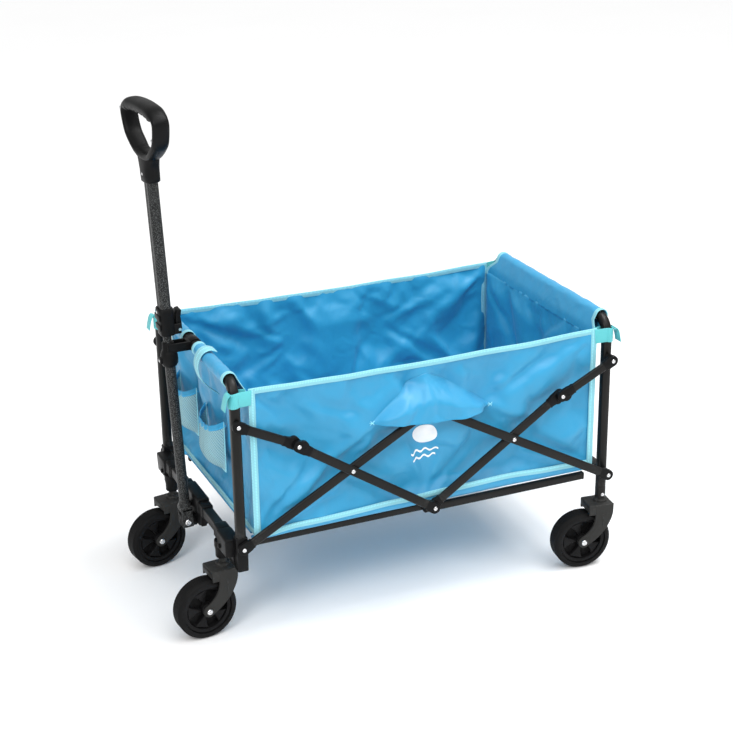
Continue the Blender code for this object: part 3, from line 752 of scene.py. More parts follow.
def bar_end(bm, at, direction, knee, outside):
    """Black end fitting of a bar: a round eye with a neck; at a knee it has a second eye."""
    reach = 0.030 if knee else 0.022
    half = sizes().bar_width / 2 + 0.0004
    eye = arc((0, 0), 0.0115, 90, 270, 14)
    outline = eye + [(reach * 0.55, -0.0112), (reach * 0.80, -half), (reach, -half)]
    outline += [(reach, half), (reach * 0.80, half), (reach * 0.55, 0.0112)]
    outline = [(at + direction * a, b) for a, b in outline]
    add_plate(bm, outline, -BAR_THICK / 2, BAR_THICK / 2, FACE_Y, 0.0014, 1)
    if knee:
        second = [(at + direction * (a + 0.0085), b + 0.0035) for a, b in circle(0.0118, 24)]
        add_plate(bm, second, -BAR_THICK / 2 + 0.0002, BAR_THICK / 2 + 0.0001, FACE_Y, 0.0012, 1)
        place = (at + direction * 0.0125, outside * BAR_THICK / 2, 0.0045)
        add_rivet(bm, place, outside, 0.0034, 0.0012, 1)


def build_bar(name, start, end, side, layer_y, body, rivets, knee_at):
    """A flat tube between two pivots, with black end fittings and bright rivets on its outer face."""
    run = Vector((end[0] - start[0], end[1] - start[1]))
    slope = math.atan2(run.y, run.x)
    long = run.length
    half = sizes().bar_width / 2
    bm = bmesh.new()
    section = rounded(BAR_THICK / 2 - 0.0002, half, 0.0036, 5)
    bar_path = [(0.014 + (long - 0.028) * i / 10, 0, 0) for i in range(11)]
    add_sweep(bm, bar_path, section, up=(0, 0, 1))
    for share_along, direction in ((0.0, 1), (1.0, -1)):
        bar_end(bm, share_along * long, direction, knee_at == share_along, side)
    for share_along in rivets:
        add_rivet(bm, (share_along * long, side * (BAR_THICK / 2 - 0.0001), 0), side)
    bm.transform(Matrix.Translation((start[0], side * layer_y, start[1])) @ Matrix.Rotation(-slope, 4, "Y"))
    piece(f"link_{name}", bm, ["paint", "plastic", "zinc"], body, [body])


def build_linkage():
    for side, word in SIDES:
        for end, end_word in ENDS:
            name = f"{end_word}_{word}"
            foot = (MIDDLE_X + end * (REAR_X - MIDDLE_X), PIVOT["fold"].z)
            upper = (foot[0], PIVOT["short_link_front_left_hinge"].z)
            top = (MIDDLE_X, PIVOT["centre_top_left_hinge"].z)
            crossing = PIVOT[f"{end_word}_crossing_{word}_hinge"]
            knee = (MIDDLE_X + end * 0.285, 0.413)
            bottom = (MIDDLE_X, 0.223)
            long_y, cross_y = (OUTER_Y, INNER_Y) if end == 1 else (INNER_Y, OUTER_Y)
            outer_long = end == 1
            share_along = abs(crossing.x - foot[0]) / abs(top[0] - foot[0])
            long_rivets = (0.0, share_along, 1.0) if outer_long else (0.0,)
            cross_share = abs(crossing.x - knee[0]) / abs(bottom[0] - knee[0])
            cross_rivets = () if outer_long else (0.0, cross_share, 1.0)
            build_bar(f"long_{name}", foot, top, side, long_y, f"long_bar_{name}", long_rivets, None)
            build_bar(f"cross_{name}", knee, bottom, side, cross_y, f"cross_bar_{name}", cross_rivets, 0.0)
            short_rivets = (0.0, 1.0) if outer_long else (0.0,)
            build_bar(f"short_{name}", upper, knee, side, long_y, f"short_link_{name}", short_rivets, 1.0)
    for side, word in SIDES:
        for z in (PIVOT["fold"].z, PIVOT["short_link_front_left_hinge"].z):
            bm = bmesh.new()
            turn = Matrix.Rotation(-side * math.pi / 2, 4, "X")
            spacer = [(0.0, 0.2440), (0.0092, 0.2440), (0.0104, 0.2450), (0.0104, INNER_Y + 0.0044), (0.0, INNER_Y + 0.0046)]
            add_turned(bm, spacer, Matrix.Translation((REAR_X, 0, z)) @ turn, 24)
            level = "low" if z < 0.3 else "high"
            piece(f"spacer_{level}_{word}", bm, ["plastic"], "rear_frame")


# --- casters --------------------------------------------------------------------------------


def fork_side():
    """Side outline of a fork arm: it bows back from the crown and sweeps forward to the axle."""
    eye = arc((-0.0436, 0.0628), 0.0120, 128, 318, 12)
    swept = [(-0.0200, 0.0640), (-0.0060, 0.0760), (0.0070, 0.0920), (0.0160, 0.1090), (0.0205, 0.1260), (0.0208, 0.1455)]
    bowed = [(-0.0205, 0.1455), (-0.0198, 0.1300), (-0.0195, 0.1150), (-0.0245, 0.0980), (-0.0350, 0.0840), (-0.0480, 0.0745)]
    line = smooth_path([(*p, 0) for p in swept], 3) + smooth_path([(*p, 0) for p in bowed], 3)
    return eye + [(p.x, p.y) for p in line]


def build_caster(name):
    swivel, spin = PIVOT[f"swivel_{name}"], PIVOT[f"wheel_spin_{name}"]
    trail = spin - swivel
    turn = math.atan2(-trail.y, -trail.x)
    stand = Matrix.Translation((swivel.x, swivel.y, 0)) @ Matrix.Rotation(turn, 4, "Z")
    bm = bmesh.new()
    upright = stand @ FACE_Y
    for side in (-1, 1):
        low, high = sorted((-side * 0.0200, -side * 0.0255))
        add_plate(bm, fork_side(), low, high, upright, 0.0016)
        pad = [(a - 0.0436, b + 0.0628) for a, b in circle(0.0102, 24)]
        low, high = sorted((-side * 0.0250, -side * 0.0262))
        add_plate(bm, pad, low, high, upright, 0.0005)
    add_block(bm, (-0.0335, -0.0250, 0.1360), (0.0208, 0.0250, 0.1460), 0.0022, 0, stand)
    add_block(bm, (0.0120, -0.0240, 0.1180), (0.0205, 0.0240, 0.1440), 0.0022, 0, stand)
    add_block(bm, (-0.0335, -0.0247, 0.1290), (-0.0300, 0.0247, 0.1450), 0.0012, 0, stand)
    for side in (-1, 1):
        flip = stand @ Matrix.Diagonal((1, side, 1, 1))
        add_block(bm, (-0.0335, 0.0215, 0.1230), (-0.0130, 0.0248, 0.1440), 0.0014, 0, flip)
        add_block(bm, (-0.0030, 0.0240, 0.0960), (-0.0008, 0.0262, 0.1240), 0.0007, 0, flip, steps=2)
    add_block(bm, (-0.0110, -0.0130, 0.1290), (0.0140, 0.0130, 0.1400), 0.0030, 0, stand)
    collar = [(0.0, 0.1440), (0.0145, 0.1440), (0.0145, 0.1500), (0.0130, 0.1515), (0.0, 0.1515)]
    add_turned(bm, collar, stand)
    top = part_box(f"fork_{name}")[1].z
    washer = [(0.0080, 0.1515), (0.0118, 0.1515), (0.0118, 0.1530), (0.0080, 0.1530)]
    add_turned(bm, washer, stand, 24, 0)
    stem = [(0.0, 0.150), (0.0080, 0.150), (0.0080, top - 0.001), (0.0, top)]
    add_turned(bm, stem, stand, 20, 0)
    piece(f"fork_shell_{name}", bm, ["fork", "zinc"], f"caster_{name}", [f"fork_{name}"])

    hub = Matrix.Translation(spin) @ Matrix.Rotation(turn, 4, "Z")
    axis = hub @ FACE_Y
    bm = bmesh.new()
    pin = [(0.0, -0.0275), (0.0038, -0.0275), (0.0038, 0.0275), (0.0, 0.0275)]
    add_turned(bm, pin, axis, 16)
    for side in (-1, 1):
        place = hub @ Vector((0, side * 0.0260, 0))
        head = bmesh.new()
        add_rivet(head, (0, 0, 0), side, 0.0060, 0.0030, 0)
        head.transform(Matrix.Translation(place) @ Matrix.Rotation(turn, 4, "Z"))
        absorb(bm, head, 0)
    piece(f"axle_pin_{name}", bm, ["zinc"], f"caster_{name}", [f"axle_{name}"])

    bm = bmesh.new()
    rim = []
    for r, h in ((0.0420, -0.0095), (0.0430, -0.0130), (0.0455, -0.0140), (0.0500, -0.0140), (0.0507, -0.0130)):
        rim.append((r, h))
    rim += [(r, -h) for r, h in reversed(rim)]
    rim.append(rim[0])
    add_turned(bm, rim, axis, 56)
    boss = [(0.0042, -0.0165), (0.0095, -0.0165), (0.0115, -0.0150), (0.0125, -0.0080)]
    boss += [(r, -h) for r, h in reversed(boss)]
    boss.append(boss[0])
    add_turned(bm, boss, axis, 32)
    for i in range(5):
        middle = math.radians(36 + 72 * i)
        web = []
        for radius, spread in ((0.0110, 9), (0.0200, 11), (0.0320, 16), (0.0430, 20)):
            web.append((radius, math.radians(spread)))
        outline = [(r * math.cos(middle + s), r * math.sin(middle + s)) for r, s in web]
        outline += [(r * math.cos(middle - s), r * math.sin(middle - s)) for r, s in reversed(web)]
        add_plate(bm, outline, -0.0112, 0.0112, axis, 0.0016)
    # A thin black disc across the open spaces between the webs, given the rough tread finish: painted shade that
    # stands in for the dark depth of the openings.
    painted_shade_disc = [(0.0110, -0.0012), (0.0440, -0.0012), (0.0440, 0.0012), (0.0110, 0.0012), (0.0110, -0.0012)]
    add_turned(bm, painted_shade_disc, axis, 40, 1)
    piece(f"wheel_disc_{name}", bm, ["wheel", "tread"], f"wheel_{name}", [f"wheel_centre_{name}"])

    bm = bmesh.new()
    outer = 0.0626
    half = [(0.0511, 0.0175), (0.0560, 0.0180), (0.0580, 0.0172), (0.0592, 0.0150), (0.0600, 0.0148), (outer - 0.0008, 0.0128)]
    grooves = []
    for z in (0.0110, 0.0066, 0.0022):
        grooves += [(outer, z + 0.0016), (outer, z + 0.0004), (outer - 0.0011, z + 0.0001), (outer - 0.0011, z - 0.0007), (outer, z - 0.0010)]
    side_line = half + grooves
    profile = side_line + [(r, -h) for r, h in reversed(side_line)]
    profile.append(profile[0])
    add_turned(bm, profile, axis, 72)
    piece(f"tyre_{name}", bm, ["tread"], f"wheel_{name}", [f"tread_{name}"], sharp=50)


# --- handle ---------------------------------------------------------------------------------


def handle_stand():
    """The handle's own space: origin on its hinge, Z along its tubes."""
    low, high = PIVOT["handle_hinge"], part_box("handle_upper_tube")
    lean = math.atan2((high[0].x + high[1].x) / 2 - low.x, (high[0].z + high[1].z) / 2 - low.z)
    return Matrix.Translation(low) @ Matrix.Rotation(lean, 4, "Y")


def build_handle():
    stand = handle_stand()
    bm = bmesh.new()
    for side in (-1, 1):
        flip = stand @ Matrix.Diagonal((1, side, 1, 1))
        add_block(bm, (-0.0118, 0.0104, -0.0118), (0.0118, 0.0145, 0.0300), 0.0018, 0, flip)
    add_block(bm, (-0.0125, -0.0145, 0.0220), (0.0125, 0.0145, 0.0345), 0.0030, 0, stand)
    neck = [(0.0145, 0.0290), (0.0140, 0.0345), (0.0120, 0.0400), (0.0112, 0.0430)]
    add_turned(bm, neck, stand)
    piece("yoke", bm, ["hammered"], "handle_foot", ["handle_yoke"])

    bm = bmesh.new()
    axis = stand @ FACE_Y
    add_turned(bm, [(0.0, -0.017), (0.0039, -0.017), (0.0039, 0.017), (0.0, 0.017)], axis, 16)
    for side in (-1, 1):
        part = bmesh.new()
        add_rivet(part, (0, side * 0.0146, 0), side, 0.0066, 0.0032, 0)
        absorb(bm, part, 0, stand)
    piece("yoke_bolt", bm, ["zinc"], "handle_foot", ["handle_bolt"])

    bm = bmesh.new()
    run = [stand @ Vector((0, 0, 0.034 + (0.343 - 0.034) * i / 12)) for i in range(13)]
    add_sweep(bm, run, circle(0.0105, 28), up=(1, 0, 0))
    piece("lower_tube", bm, ["hammered"], "handle_foot", ["handle_lower_tube"])
    bm = bmesh.new()
    run = [stand @ Vector((0, 0, 0.343 + (0.690 - 0.343) * i / 12)) for i in range(13)]
    add_sweep(bm, run, circle(0.0085, 28), up=(1, 0, 0))
    piece("inner_tube", bm, ["hammered"], "handle_foot", ["handle_inner_tube"])

    bm = bmesh.new()
    ball = [(0.0105, 0.3405), (0.0140, 0.3425), (0.0168, 0.3480), (0.0176, 0.3560), (0.0172, 0.3640), (0.0150, 0.3715)]
    ball += [(0.0125, 0.3765), (0.0118, 0.3900), (0.0108, 0.3915), (0.0088, 0.3915)]
    add_turned(bm, ball, stand, 32)
    add_block(bm, (-0.0205, -0.0060, 0.3490), (-0.0120, 0.0060, 0.3620), 0.0020, 0, stand)
    screw = stand @ Matrix.Translation((-0.0200, 0, 0.3555)) @ Matrix.Rotation(-math.pi / 2, 4, "Y")
    add_turned(bm, [(0.0032, -0.001), (0.0032, 0.0010), (0.0020, 0.0017), (0.0, 0.0014)], screw, 16, 1)
    piece("ball_joint", bm, ["plastic", "zinc"], "handle_foot", ["ball_collar"])

    bm = bmesh.new()
    run = [stand @ Vector((0, 0, z)) for z in (0.4080, 0.4095, 0.4150, 0.4300, 0.4480, 0.4550, 0.4615, 0.4630)]
    widths = (0.0135, 0.0148, 0.0152, 0.0150, 0.0150, 0.0155, 0.0153, 0.0142)
    sections = [squircle(w, w + 0.0030, 4.0, 32) for w in widths]
    add_sweep(bm, run, lambda t: sections[round(t * (len(sections) - 1))], up=(0, 1, 0))
    for z in (0.4200, 0.4400):
        add_block(bm, (-0.0168, -0.0150, z), (-0.0140, 0.0150, z + 0.012), 0.0012, 0, stand)
    for side in (-1, 1):
        add_block(
            bm, (0.0120, 0.0135 * side - 0.0022, 0.4090), (0.0262, 0.0135 * side + 0.0022, 0.4300), 0.0018, 0, stand
        )
    screw = stand @ Matrix.Translation((-0.0150, 0, 0.4560)) @ Matrix.Rotation(-math.pi / 2, 4, "Y")
    add_turned(bm, [(0.0032, -0.001), (0.0032, 0.0010), (0.0020, 0.0017), (0.0, 0.0014)], screw, 16, 1)
    piece("tube_clamp", bm, ["plastic", "zinc"], "handle_slider", ["handle_clamp"])

    bm = bmesh.new()
    shell = []
    for a, b in rounded(0.0150, 0.0110, 0.0060, 5):
        pinch = 1.0 - 0.10 * math.exp(-((a / 0.0028) ** 2))
        shell.append((a, b * pinch))
    dense = []
    for i, (a, b) in enumerate(shell):
        nxt = shell[(i + 1) % len(shell)]
        steps = 9 if abs(nxt[0] - a) > 0.010 else 1
        for k in range(steps):
            t = k / steps
            across, deep = a + (nxt[0] - a) * t, b + (nxt[1] - b) * t
            groove = 1.0 - 0.11 * math.exp(-((across / 0.0024) ** 2)) if abs(deep) > 0.009 else 1.0
            dense.append((across, deep * groove))
    run = [stand @ Vector((0, 0, 0.4633 + (0.7160 - 0.4633) * i / 10)) for i in range(11)]
    add_sweep(bm, run, dense, up=(1, 0, 0))
    piece("upper_tube", bm, ["hammered"], "handle_slider", ["handle_upper_tube"])

    pin = PIVOT["clamp_lever_hinge"]
    bm = bmesh.new()
    lever = Matrix.Translation(pin) @ stand.to_3x3().to_4x4()
    outline = arc((0, 0), 0.0064, 170, 370, 10)
    outline += [(0.0062, 0.0120), (0.0050, 0.0240), (0.0078, 0.0360), (0.0060, 0.0392), (-0.0010, 0.0385), (-0.0050, 0.0300)]
    outline += [(-0.0060, 0.0150)]
    add_plate(bm, outline, -0.0112, 0.0112, lever @ FACE_Y, 0.0020)
    add_turned(bm, [(0.0, -0.0165), (0.0030, -0.0165), (0.0030, 0.0165), (0.0, 0.0165)], lever @ FACE_Y, 14, 1)
    piece("cam_lever", bm, ["plastic", "zinc"], "clamp_lever", ["clamp_lever"])
    build_grip(stand)


def build_grip(stand):
    """A wide moulded loop with finger bumps under its top bar, and a socket for the tube."""
    base, widest, top, half = 0.7570, 0.8330, 0.8722, 0.0865
    outer = [(0.0, base), (-0.30 * half, 0.7604), (-0.60 * half, 0.7765), (-0.87 * half, 0.7980), (-half, widest)]
    outer += [(-0.94 * half, 0.8515), (-0.70 * half, 0.8665), (-0.33 * half, 0.8712), (0.0, top)]
    whole = outer + [(-a, b) for a, b in reversed(outer[1:-1])]
    line = smooth_path([(a, b, 0) for a, b in whole], 6, closed=True)
    turned = stand @ Matrix.Rotation(math.radians(5), 4, "Z")
    bm = bmesh.new()
    rings = []
    count = len(line)
    for i, out in enumerate(line):
        along = (line[(i + 1) % count] - line[i - 1]).normalized()
        inward = Vector((along.y, -along.x, 0))
        if inward.dot(Vector((0, (base + top) / 2, 0)) - out) < 0:
            inward.negate()
        on_top = max(0.0, min(1.0, (out.y - top + 0.020) / 0.010))
        on_foot = max(0.0, min(1.0, (base + 0.020 - out.y) / 0.015))
        thick = max(0.0145 + 0.0105 * on_top, 0.0180 * on_foot)
        bumps = 0.0014 * on_top * math.cos(math.tau * out.x / 0.0215)
        deep = 0.0168 + 0.0014 * on_top - 0.0010 * on_foot
        middle = out + inward * thick / 2
        ring = []
        for a, b in squircle(thick / 2, deep, 2.6, 24):
            push = bumps if a > 0 else 0.0
            spot = middle + inward * (a + push)
            ring.append(bm.verts.new(turned @ Vector((b, spot.x, spot.y))))
        rings.append(ring)
    spans = lengths_along(line + line[:1])
    rounds = [0.09 * k / 24 for k in range(25)]
    add_rings(bm, rings, spans, rounds, 0, closed=True)
    levels = (0.7163, 0.7180, 0.7300, 0.7420, 0.7520, 0.7640, 0.7735)
    widths = (0.0185, 0.0200, 0.0204, 0.0215, 0.0250, 0.0330, 0.0300)
    deeps = (0.0142, 0.0158, 0.0162, 0.0162, 0.0162, 0.0150, 0.0115)
    rings = []
    for z, wide, deep in zip(levels, widths, deeps):
        rings.append([bm.verts.new(turned @ Vector((a, b, z))) for a, b in squircle(deep, wide, 3.2, 28)])
    add_rings(bm, rings, list(levels), [0.1 * k / 28 for k in range(29)], 0)
    for a, b, z in ((-0.0156, 0.0, 0.7330), (-0.0170, -0.0700, 0.8100), (-0.0170, 0.0790, 0.8450)):
        screw = turned @ Matrix.Translation((a, b, z)) @ Matrix.Rotation(-math.pi / 2, 4, "Y")
        add_turned(bm, [(0.0030, -0.001), (0.0030, 0.0008), (0.0020, 0.0013), (0.0, 0.0010)], screw, 16, 1)
    piece("hand_grip", bm, ["plastic", "zinc"], "handle_slider", ["grip"], sharp=50)


# --- bag ------------------------------------------------------------------------------------


def wander(x, z, seed, scale, depth):
    """A slow, repeatable unevenness."""
    return depth * noise.noise(Vector((x * scale + seed, z * scale, seed * 1.7)))


def rim_z(dx):
    sag = 0.0050 * (1 - (dx / PANEL_DX) ** 2)
    return 0.5365 - sag + wander(dx, 0, 3.1, 11, 0.0016)


def hem_z(dx, side):
    """Bottom edge of a side panel, low at the front corner."""
    marks = ((-0.372, 0.2245), (-0.28, 0.2320), (-0.07, 0.2370), (0.045, 0.2400), (0.16, 0.2425), (0.372, 0.2365))
    for (x0, z0), (x1, z1) in zip(marks, marks[1:]):
        if dx <= x1:
            t = (dx - x0) / (x1 - x0)
            return z0 + (z1 - z0) * t * t * (3 - 2 * t) + wander(dx, 0, 7.7 + side, 14, 0.0012)
    return marks[-1][1]


def edge_y(dx, seed):
    """The panels' sewn edges wander a little to the side."""
    return PANEL_Y + wander(dx, 0, seed, 9, 0.0016) * (1 - (dx / PANEL_DX) ** 4)


def fold_depth(x, z, folds):
    """Soft tension folds; each is (from x, from z, to x, to z, half width, depth)."""
    total = 0.0
    for x0, z0, x1, z1, width, depth in folds:
        run = Vector((x1 - x0, z1 - z0))
        t = max(0.0, min(1.0, (Vector((x - x0, z - z0)) @ run) / run.length_squared))
        gap = (Vector((x - x0, z - z0)) - run * t).length / (width * (0.5 + t))
        total += depth * math.exp(-gap * gap) * (0.35 + 0.65 * math.sin(math.pi * min(1.0, t * 0.8 + 0.1)))
    return total


def crumple(x, z, seed):
    """Crisp creases, as in coated cloth that has been folded away: how far the cloth sinks in."""
    total = 0.0
    for scale, depth in ((8.0, 0.0260), (17.0, 0.0105)):
        place = Vector((x * scale + seed, (z + 0.35 * x) * scale, seed * 0.37))
        bent = place + 0.55 * noise.noise_vector(place * 0.6)
        total += depth * (0.32 - abs(noise.noise(bent)))
    return total


NEAR_FOLDS = (
    (-0.360, 0.245, -0.215, 0.400, 0.012, -0.0080),
    (-0.345, 0.240, -0.150, 0.330, 0.014, 0.0055),
    (-0.365, 0.520, -0.200, 0.430, 0.016, -0.0060),
    (-0.005, 0.245, 0.100, 0.345, 0.011, -0.0080),
    (-0.010, 0.245, 0.030, 0.330, 0.009, 0.0050),
    (-0.030, 0.240, -0.130, 0.300, 0.011, -0.0065),
    (0.000, 0.250, -0.060, 0.390, 0.010, 0.0050),
    (0.125, 0.425, 0.290, 0.505, 0.014, -0.0070),
    (0.130, 0.420, 0.250, 0.370, 0.014, 0.0050),
    (-0.125, 0.425, -0.255, 0.330, 0.013, 0.0055),
    (-0.120, 0.440, -0.290, 0.500, 0.015, -0.0065),
    (0.360, 0.245, 0.210, 0.330, 0.014, -0.0070),
    (0.345, 0.510, 0.190, 0.440, 0.014, 0.0050),
    (0.080, 0.500, 0.210, 0.470, 0.009, -0.0050),
    (-0.060, 0.510, -0.160, 0.470, 0.010, -0.0045),
    (0.190, 0.300, 0.300, 0.260, 0.012, 0.0050),
)
END_FOLDS = (
    (-0.215, 0.500, -0.060, 0.360, 0.014, -0.0070),
    (0.215, 0.500, 0.070, 0.380, 0.014, 0.0055),
    (-0.210, 0.250, -0.080, 0.360, 0.013, 0.0060),
    (0.210, 0.250, 0.060, 0.330, 0.014, -0.0070),
    (-0.120, 0.505, -0.020, 0.430, 0.010, -0.0045),
    (0.130, 0.510, 0.020, 0.460, 0.011, -0.0045),
    (0.000, 0.250, 0.050, 0.330, 0.010, 0.0045),
)


def cloth_sheet(name, columns, rows, spot):
    """A sheet of squares; spot(u, v) gives a place for u and v from 0 to 1. UVs are metres."""
    bm = bmesh.new()
    uv = bm.loops.layers.uv.verify()
    places = [[spot(i / columns, j / rows) for i in range(columns + 1)] for j in range(rows + 1)]
    verts = [[bm.verts.new(p) for p in row] for row in places]
    middle = rows // 2
    across = lengths_along(places[middle])
    up = lengths_along([row[columns // 2] for row in places])
    for j in range(rows):
        for i in range(columns):
            face = bm.faces.new((verts[j][i], verts[j][i + 1], verts[j + 1][i + 1], verts[j + 1][i]))
            for loop, (a, b) in zip(face.loops, ((i, j), (i + 1, j), (i + 1, j + 1), (i, j + 1))):
                loop[uv].uv = (across[a], up[b])
    mesh = bpy.data.meshes.new(name)
    bm.to_mesh(mesh)
    bm.free()
    obj = bpy.data.objects.new(name, mesh)
    bpy.context.scene.collection.objects.link(obj)
    return obj


def points_of(mesh):
    found = np.zeros(len(mesh.vertices) * 3)
    mesh.vertices.foreach_get("co", found)
    return found.reshape(-1, 3)


def settle(sheets, frames=24):
    """Lets slack sheets buckle between their sewn edges, all in one run."""
    scene = bpy.context.scene
    for obj, pins in sheets:
        group = obj.vertex_groups.new(name="sewn edge")
        group.add(pins, 1.0, "REPLACE")
        cloth = obj.modifiers.new("slack cloth", "CLOTH")
        cloth.settings.quality = 6
        cloth.settings.mass = 0.10
        cloth.settings.tension_stiffness = 12
        cloth.settings.compression_stiffness = 12
        cloth.settings.shear_stiffness = 5
        cloth.settings.bending_stiffness = 0.12
        cloth.settings.vertex_group_mass = group.name
        cloth.settings.shrink_min = -sizes().slack
        cloth.settings.effector_weights.gravity = 0.15
        cloth.collision_settings.use_collision = False
        cloth.point_cache.frame_start = 1
        cloth.point_cache.frame_end = frames
    for number in range(1, frames + 1):
        scene.frame_set(number)
    graph = bpy.context.evaluated_depsgraph_get()
    for obj, _ in sheets:
        settled = bpy.data.meshes.new_from_object(obj.evaluated_get(graph))
        obj.modifiers.clear()
        obj.vertex_groups.clear()
        obj.data = settled
    scene.frame_set(1)


def hold_near(obj, rest, axis, outward, out_most, in_most, ease, creases):
    """Softly limits how far the settled cloth stands off its rest surface, least at its sewn edges."""
    mesh = obj.data
    now = points_of(mesh)
    off = (now[:, axis] - rest[:, axis]) * outward - creases
    kept = np.where(off > 0, out_most * np.tanh(off / out_most), in_most * np.tanh(off / in_most))
    kept *= np.where(off > 0, ease**1.6, ease**0.7)
    now[:, axis] = rest[:, axis] + kept * outward
    mesh.vertices.foreach_set("co", now.ravel())
    mesh.update()


def finish_sheet(obj, body, thickness, replaces=(), levels=1, word="cloth"):
    """Smooths a sheet, gives it a thickness and makes it a piece."""
    if levels:
        smooth = obj.modifiers.new("smooth", "SUBSURF")
        smooth.levels = levels
        smooth.render_levels = levels
        graph = bpy.context.evaluated_depsgraph_get()
        fine = bpy.data.meshes.new_from_object(obj.evaluated_get(graph))
        obj.modifiers.clear()
        obj.data = fine
    obj.data.materials.clear()
    obj.data.materials.append(finish(word))
    obj.data.shade_smooth()
    thick = obj.modifiers.new("thickness", "SOLIDIFY")
    thick.thickness = thickness
    thick.offset = 0
    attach(obj, body)
    if replaces:
        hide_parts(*replaces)
    return obj


def fold_up(obj):
    """Gives a bag piece that spans both ends a mesh of its own."""
    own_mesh(obj)


def side_spot(side, u, v):
    """A place on a side panel: its turned-in foot, then the upright part up to the rim."""
    dx = (2 * u - 1) * PANEL_DX
    foot = 0.10
    hem, rim = hem_z(dx, side), rim_z(dx)
    if v < foot:
        t = v / foot
        across = 0.2060 + (PANEL_Y - 0.2060) * math.sin(t * math.pi / 2)
        low = 0.2175
        return Vector((MIDDLE_X + dx, side * across, low + (hem - low) * (1 - math.cos(t * math.pi / 2)) ** 1.6))
    t = (v - foot) / (1 - foot)
    return Vector((MIDDLE_X + dx, side * edge_y(dx, 5.0 + side), hem + (rim - hem) * t))


def end_spot(end, u, v):
    """A place on a front or rear panel, from its hem up to the sleeve seam."""
    y = (2 * u - 1) * 0.2385
    z = 0.2330 + (SEAM_Z - 0.2330) * v
    return Vector((MIDDLE_X + end * (PANEL_DX + 0.0005), y, z))


def build_bag():
    square = sizes().square
    across = round(2 * PANEL_DX / square)
    rows = round(0.33 / square)
    sheets, kept = [], []
    for side, word in SIDES:
        obj = cloth_sheet(f"side_panel_{word}", across, rows, lambda u, v, s=side: side_spot(s, u, v))
        rest = points_of(obj.data)
        sign = 1 if side == -1 else -1
        moved = rest.copy()
        pins = []
        eased, creases = np.zeros(len(rest)), np.zeros(len(rest))
        for k, (x, y, z) in enumerate(rest):
            i, j = k % (across + 1), k // (across + 1)
            edge = min(i, across - i, rows - j)
            foot = j - rows * 0.10
            if edge <= 0 or foot <= 0.5:
                pins.append(k)
                continue
            eased[k] = min(1.0, edge / 3.4) * min(1.0, foot / 3.4)
            creases[k] = crumple(x, z, 61 + side)
            ease = min(1.0, edge / 5) * min(1.0, foot / 4)
            dx = (x - MIDDLE_X) * sign
            depth = 1.5 * fold_depth(dx, z, NEAR_FOLDS) - 0.004 + wander(x, z, 11 + side, 9, 0.006)
            moved[k, 1] += side * depth * ease
        obj.data.vertices.foreach_set("co", moved.ravel())
        sheets.append((obj, pins))
        kept.append((obj, rest, 1, side, 0.0050, 0.024, eased, creases))
    wide = round(0.477 / square)
    tall = round(0.285 / square)
    for end, word in ENDS:
        obj = cloth_sheet(f"end_panel_{word}", wide, tall, lambda u, v, e=end: end_spot(e, u, v))
        rest = points_of(obj.data)
        moved = rest.copy()
        pins = []
        eased, creases = np.zeros(len(rest)), np.zeros(len(rest))
        for k, (x, y, z) in enumerate(rest):
            i, j = k % (wide + 1), k // (wide + 1)
            edge = min(i, wide - i, j, tall - j)
            if edge <= 0:
                pins.append(k)
                continue
            eased[k] = min(1.0, edge / 3.4)
            creases[k] = 0.8 * crumple(y, z, 71 + end)
            depth = 1.4 * fold_depth(y * end, z, END_FOLDS) - 0.003 + wander(y, z, 21 + end, 9, 0.005)
            moved[k, 0] += end * depth * min(1.0, edge / 5)
        obj.data.vertices.foreach_set("co", moved.ravel())
        sheets.append((obj, pins))
        kept.append((obj, rest, 0, end, 0.0060, 0.020, eased, creases))
    settle(sheets)
    for obj, *limits in kept:
        hold_near(obj, *limits)
    thin = sizes().cloth
    for (obj, _), (side, word) in zip(sheets[:2], SIDES):
        finish_sheet(obj, "front_frame", thin, [f"bag_{word}_panel"])
        fold_up(obj)
    for (obj, _), (end, word) in zip(sheets[2:], ENDS):
        finish_sheet(obj, f"{word}_frame", thin, [f"bag_{word}_panel"])
        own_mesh(obj)
    build_sleeves()
    build_floor()


def sleeve_line(end, swell):
    """Section of a sleeve round the hoop's top bar, from the seam up, over and back to the seam."""
    centre = (REAR_X - MIDDLE_X, HOOP_Z)
    radius = 0.0128 + swell
    start = (PANEL_DX - 0.0006, SEAM_Z - 0.005)
    line = [start, (0.3742, 0.5290), (0.3792, 0.5400), (0.3842, 0.5500)]
    line += arc(centre, radius, 156, -40, 12)
    line += [(0.4035, 0.534), (0.3900, 0.5245), (PANEL_DX + 0.0024, SEAM_Z - 0.003)]
    smooth = smooth_path([(a, b, 0) for a, b in line], 2)
    return [(MIDDLE_X + end * p.x, p.y) for p in smooth]


def build_sleeves():
    count = len(sleeve_line(1, 0)) - 1
    spans = (
        (-1, "front", "near", -0.2130, -0.0330),
        (-1, "front", "far", 0.0330, 0.2130),
        (1, "rear", "whole", -0.2130, 0.2130),
    )
    for end, word, part, low, high in spans:
        columns = round((high - low) / 0.007)

        def spot(u, v, end=end, low=low, high=high):
            y = low + (high - low) * u
            swell = 0.0012 * noise.noise(Vector((y * 38, end * 3.0, v * 4))) + 0.0007
            line = sleeve_line(end, swell)
            x, z = line[round(v * count)]
            pucker = 0.0011 * noise.noise(Vector((y * 90, v * 9, end * 5.0)))
            outer = max(0.0, (abs(y) - 0.196) / 0.017) if max(abs(low), abs(high)) > 0.2 else 0.0
            lower = 1.0 if z < 0.545 else 0.0
            wing = 1.0 + 0.115 * outer * lower * min(1.0, (0.545 - z) / 0.02)
            return Vector((x + pucker, y * wing, z + pucker))

        obj = cloth_sheet(f"sleeve_{word}_{part}", columns, count, spot)
        finish_sheet(obj, f"{word}_frame", sizes().cloth, levels=1)


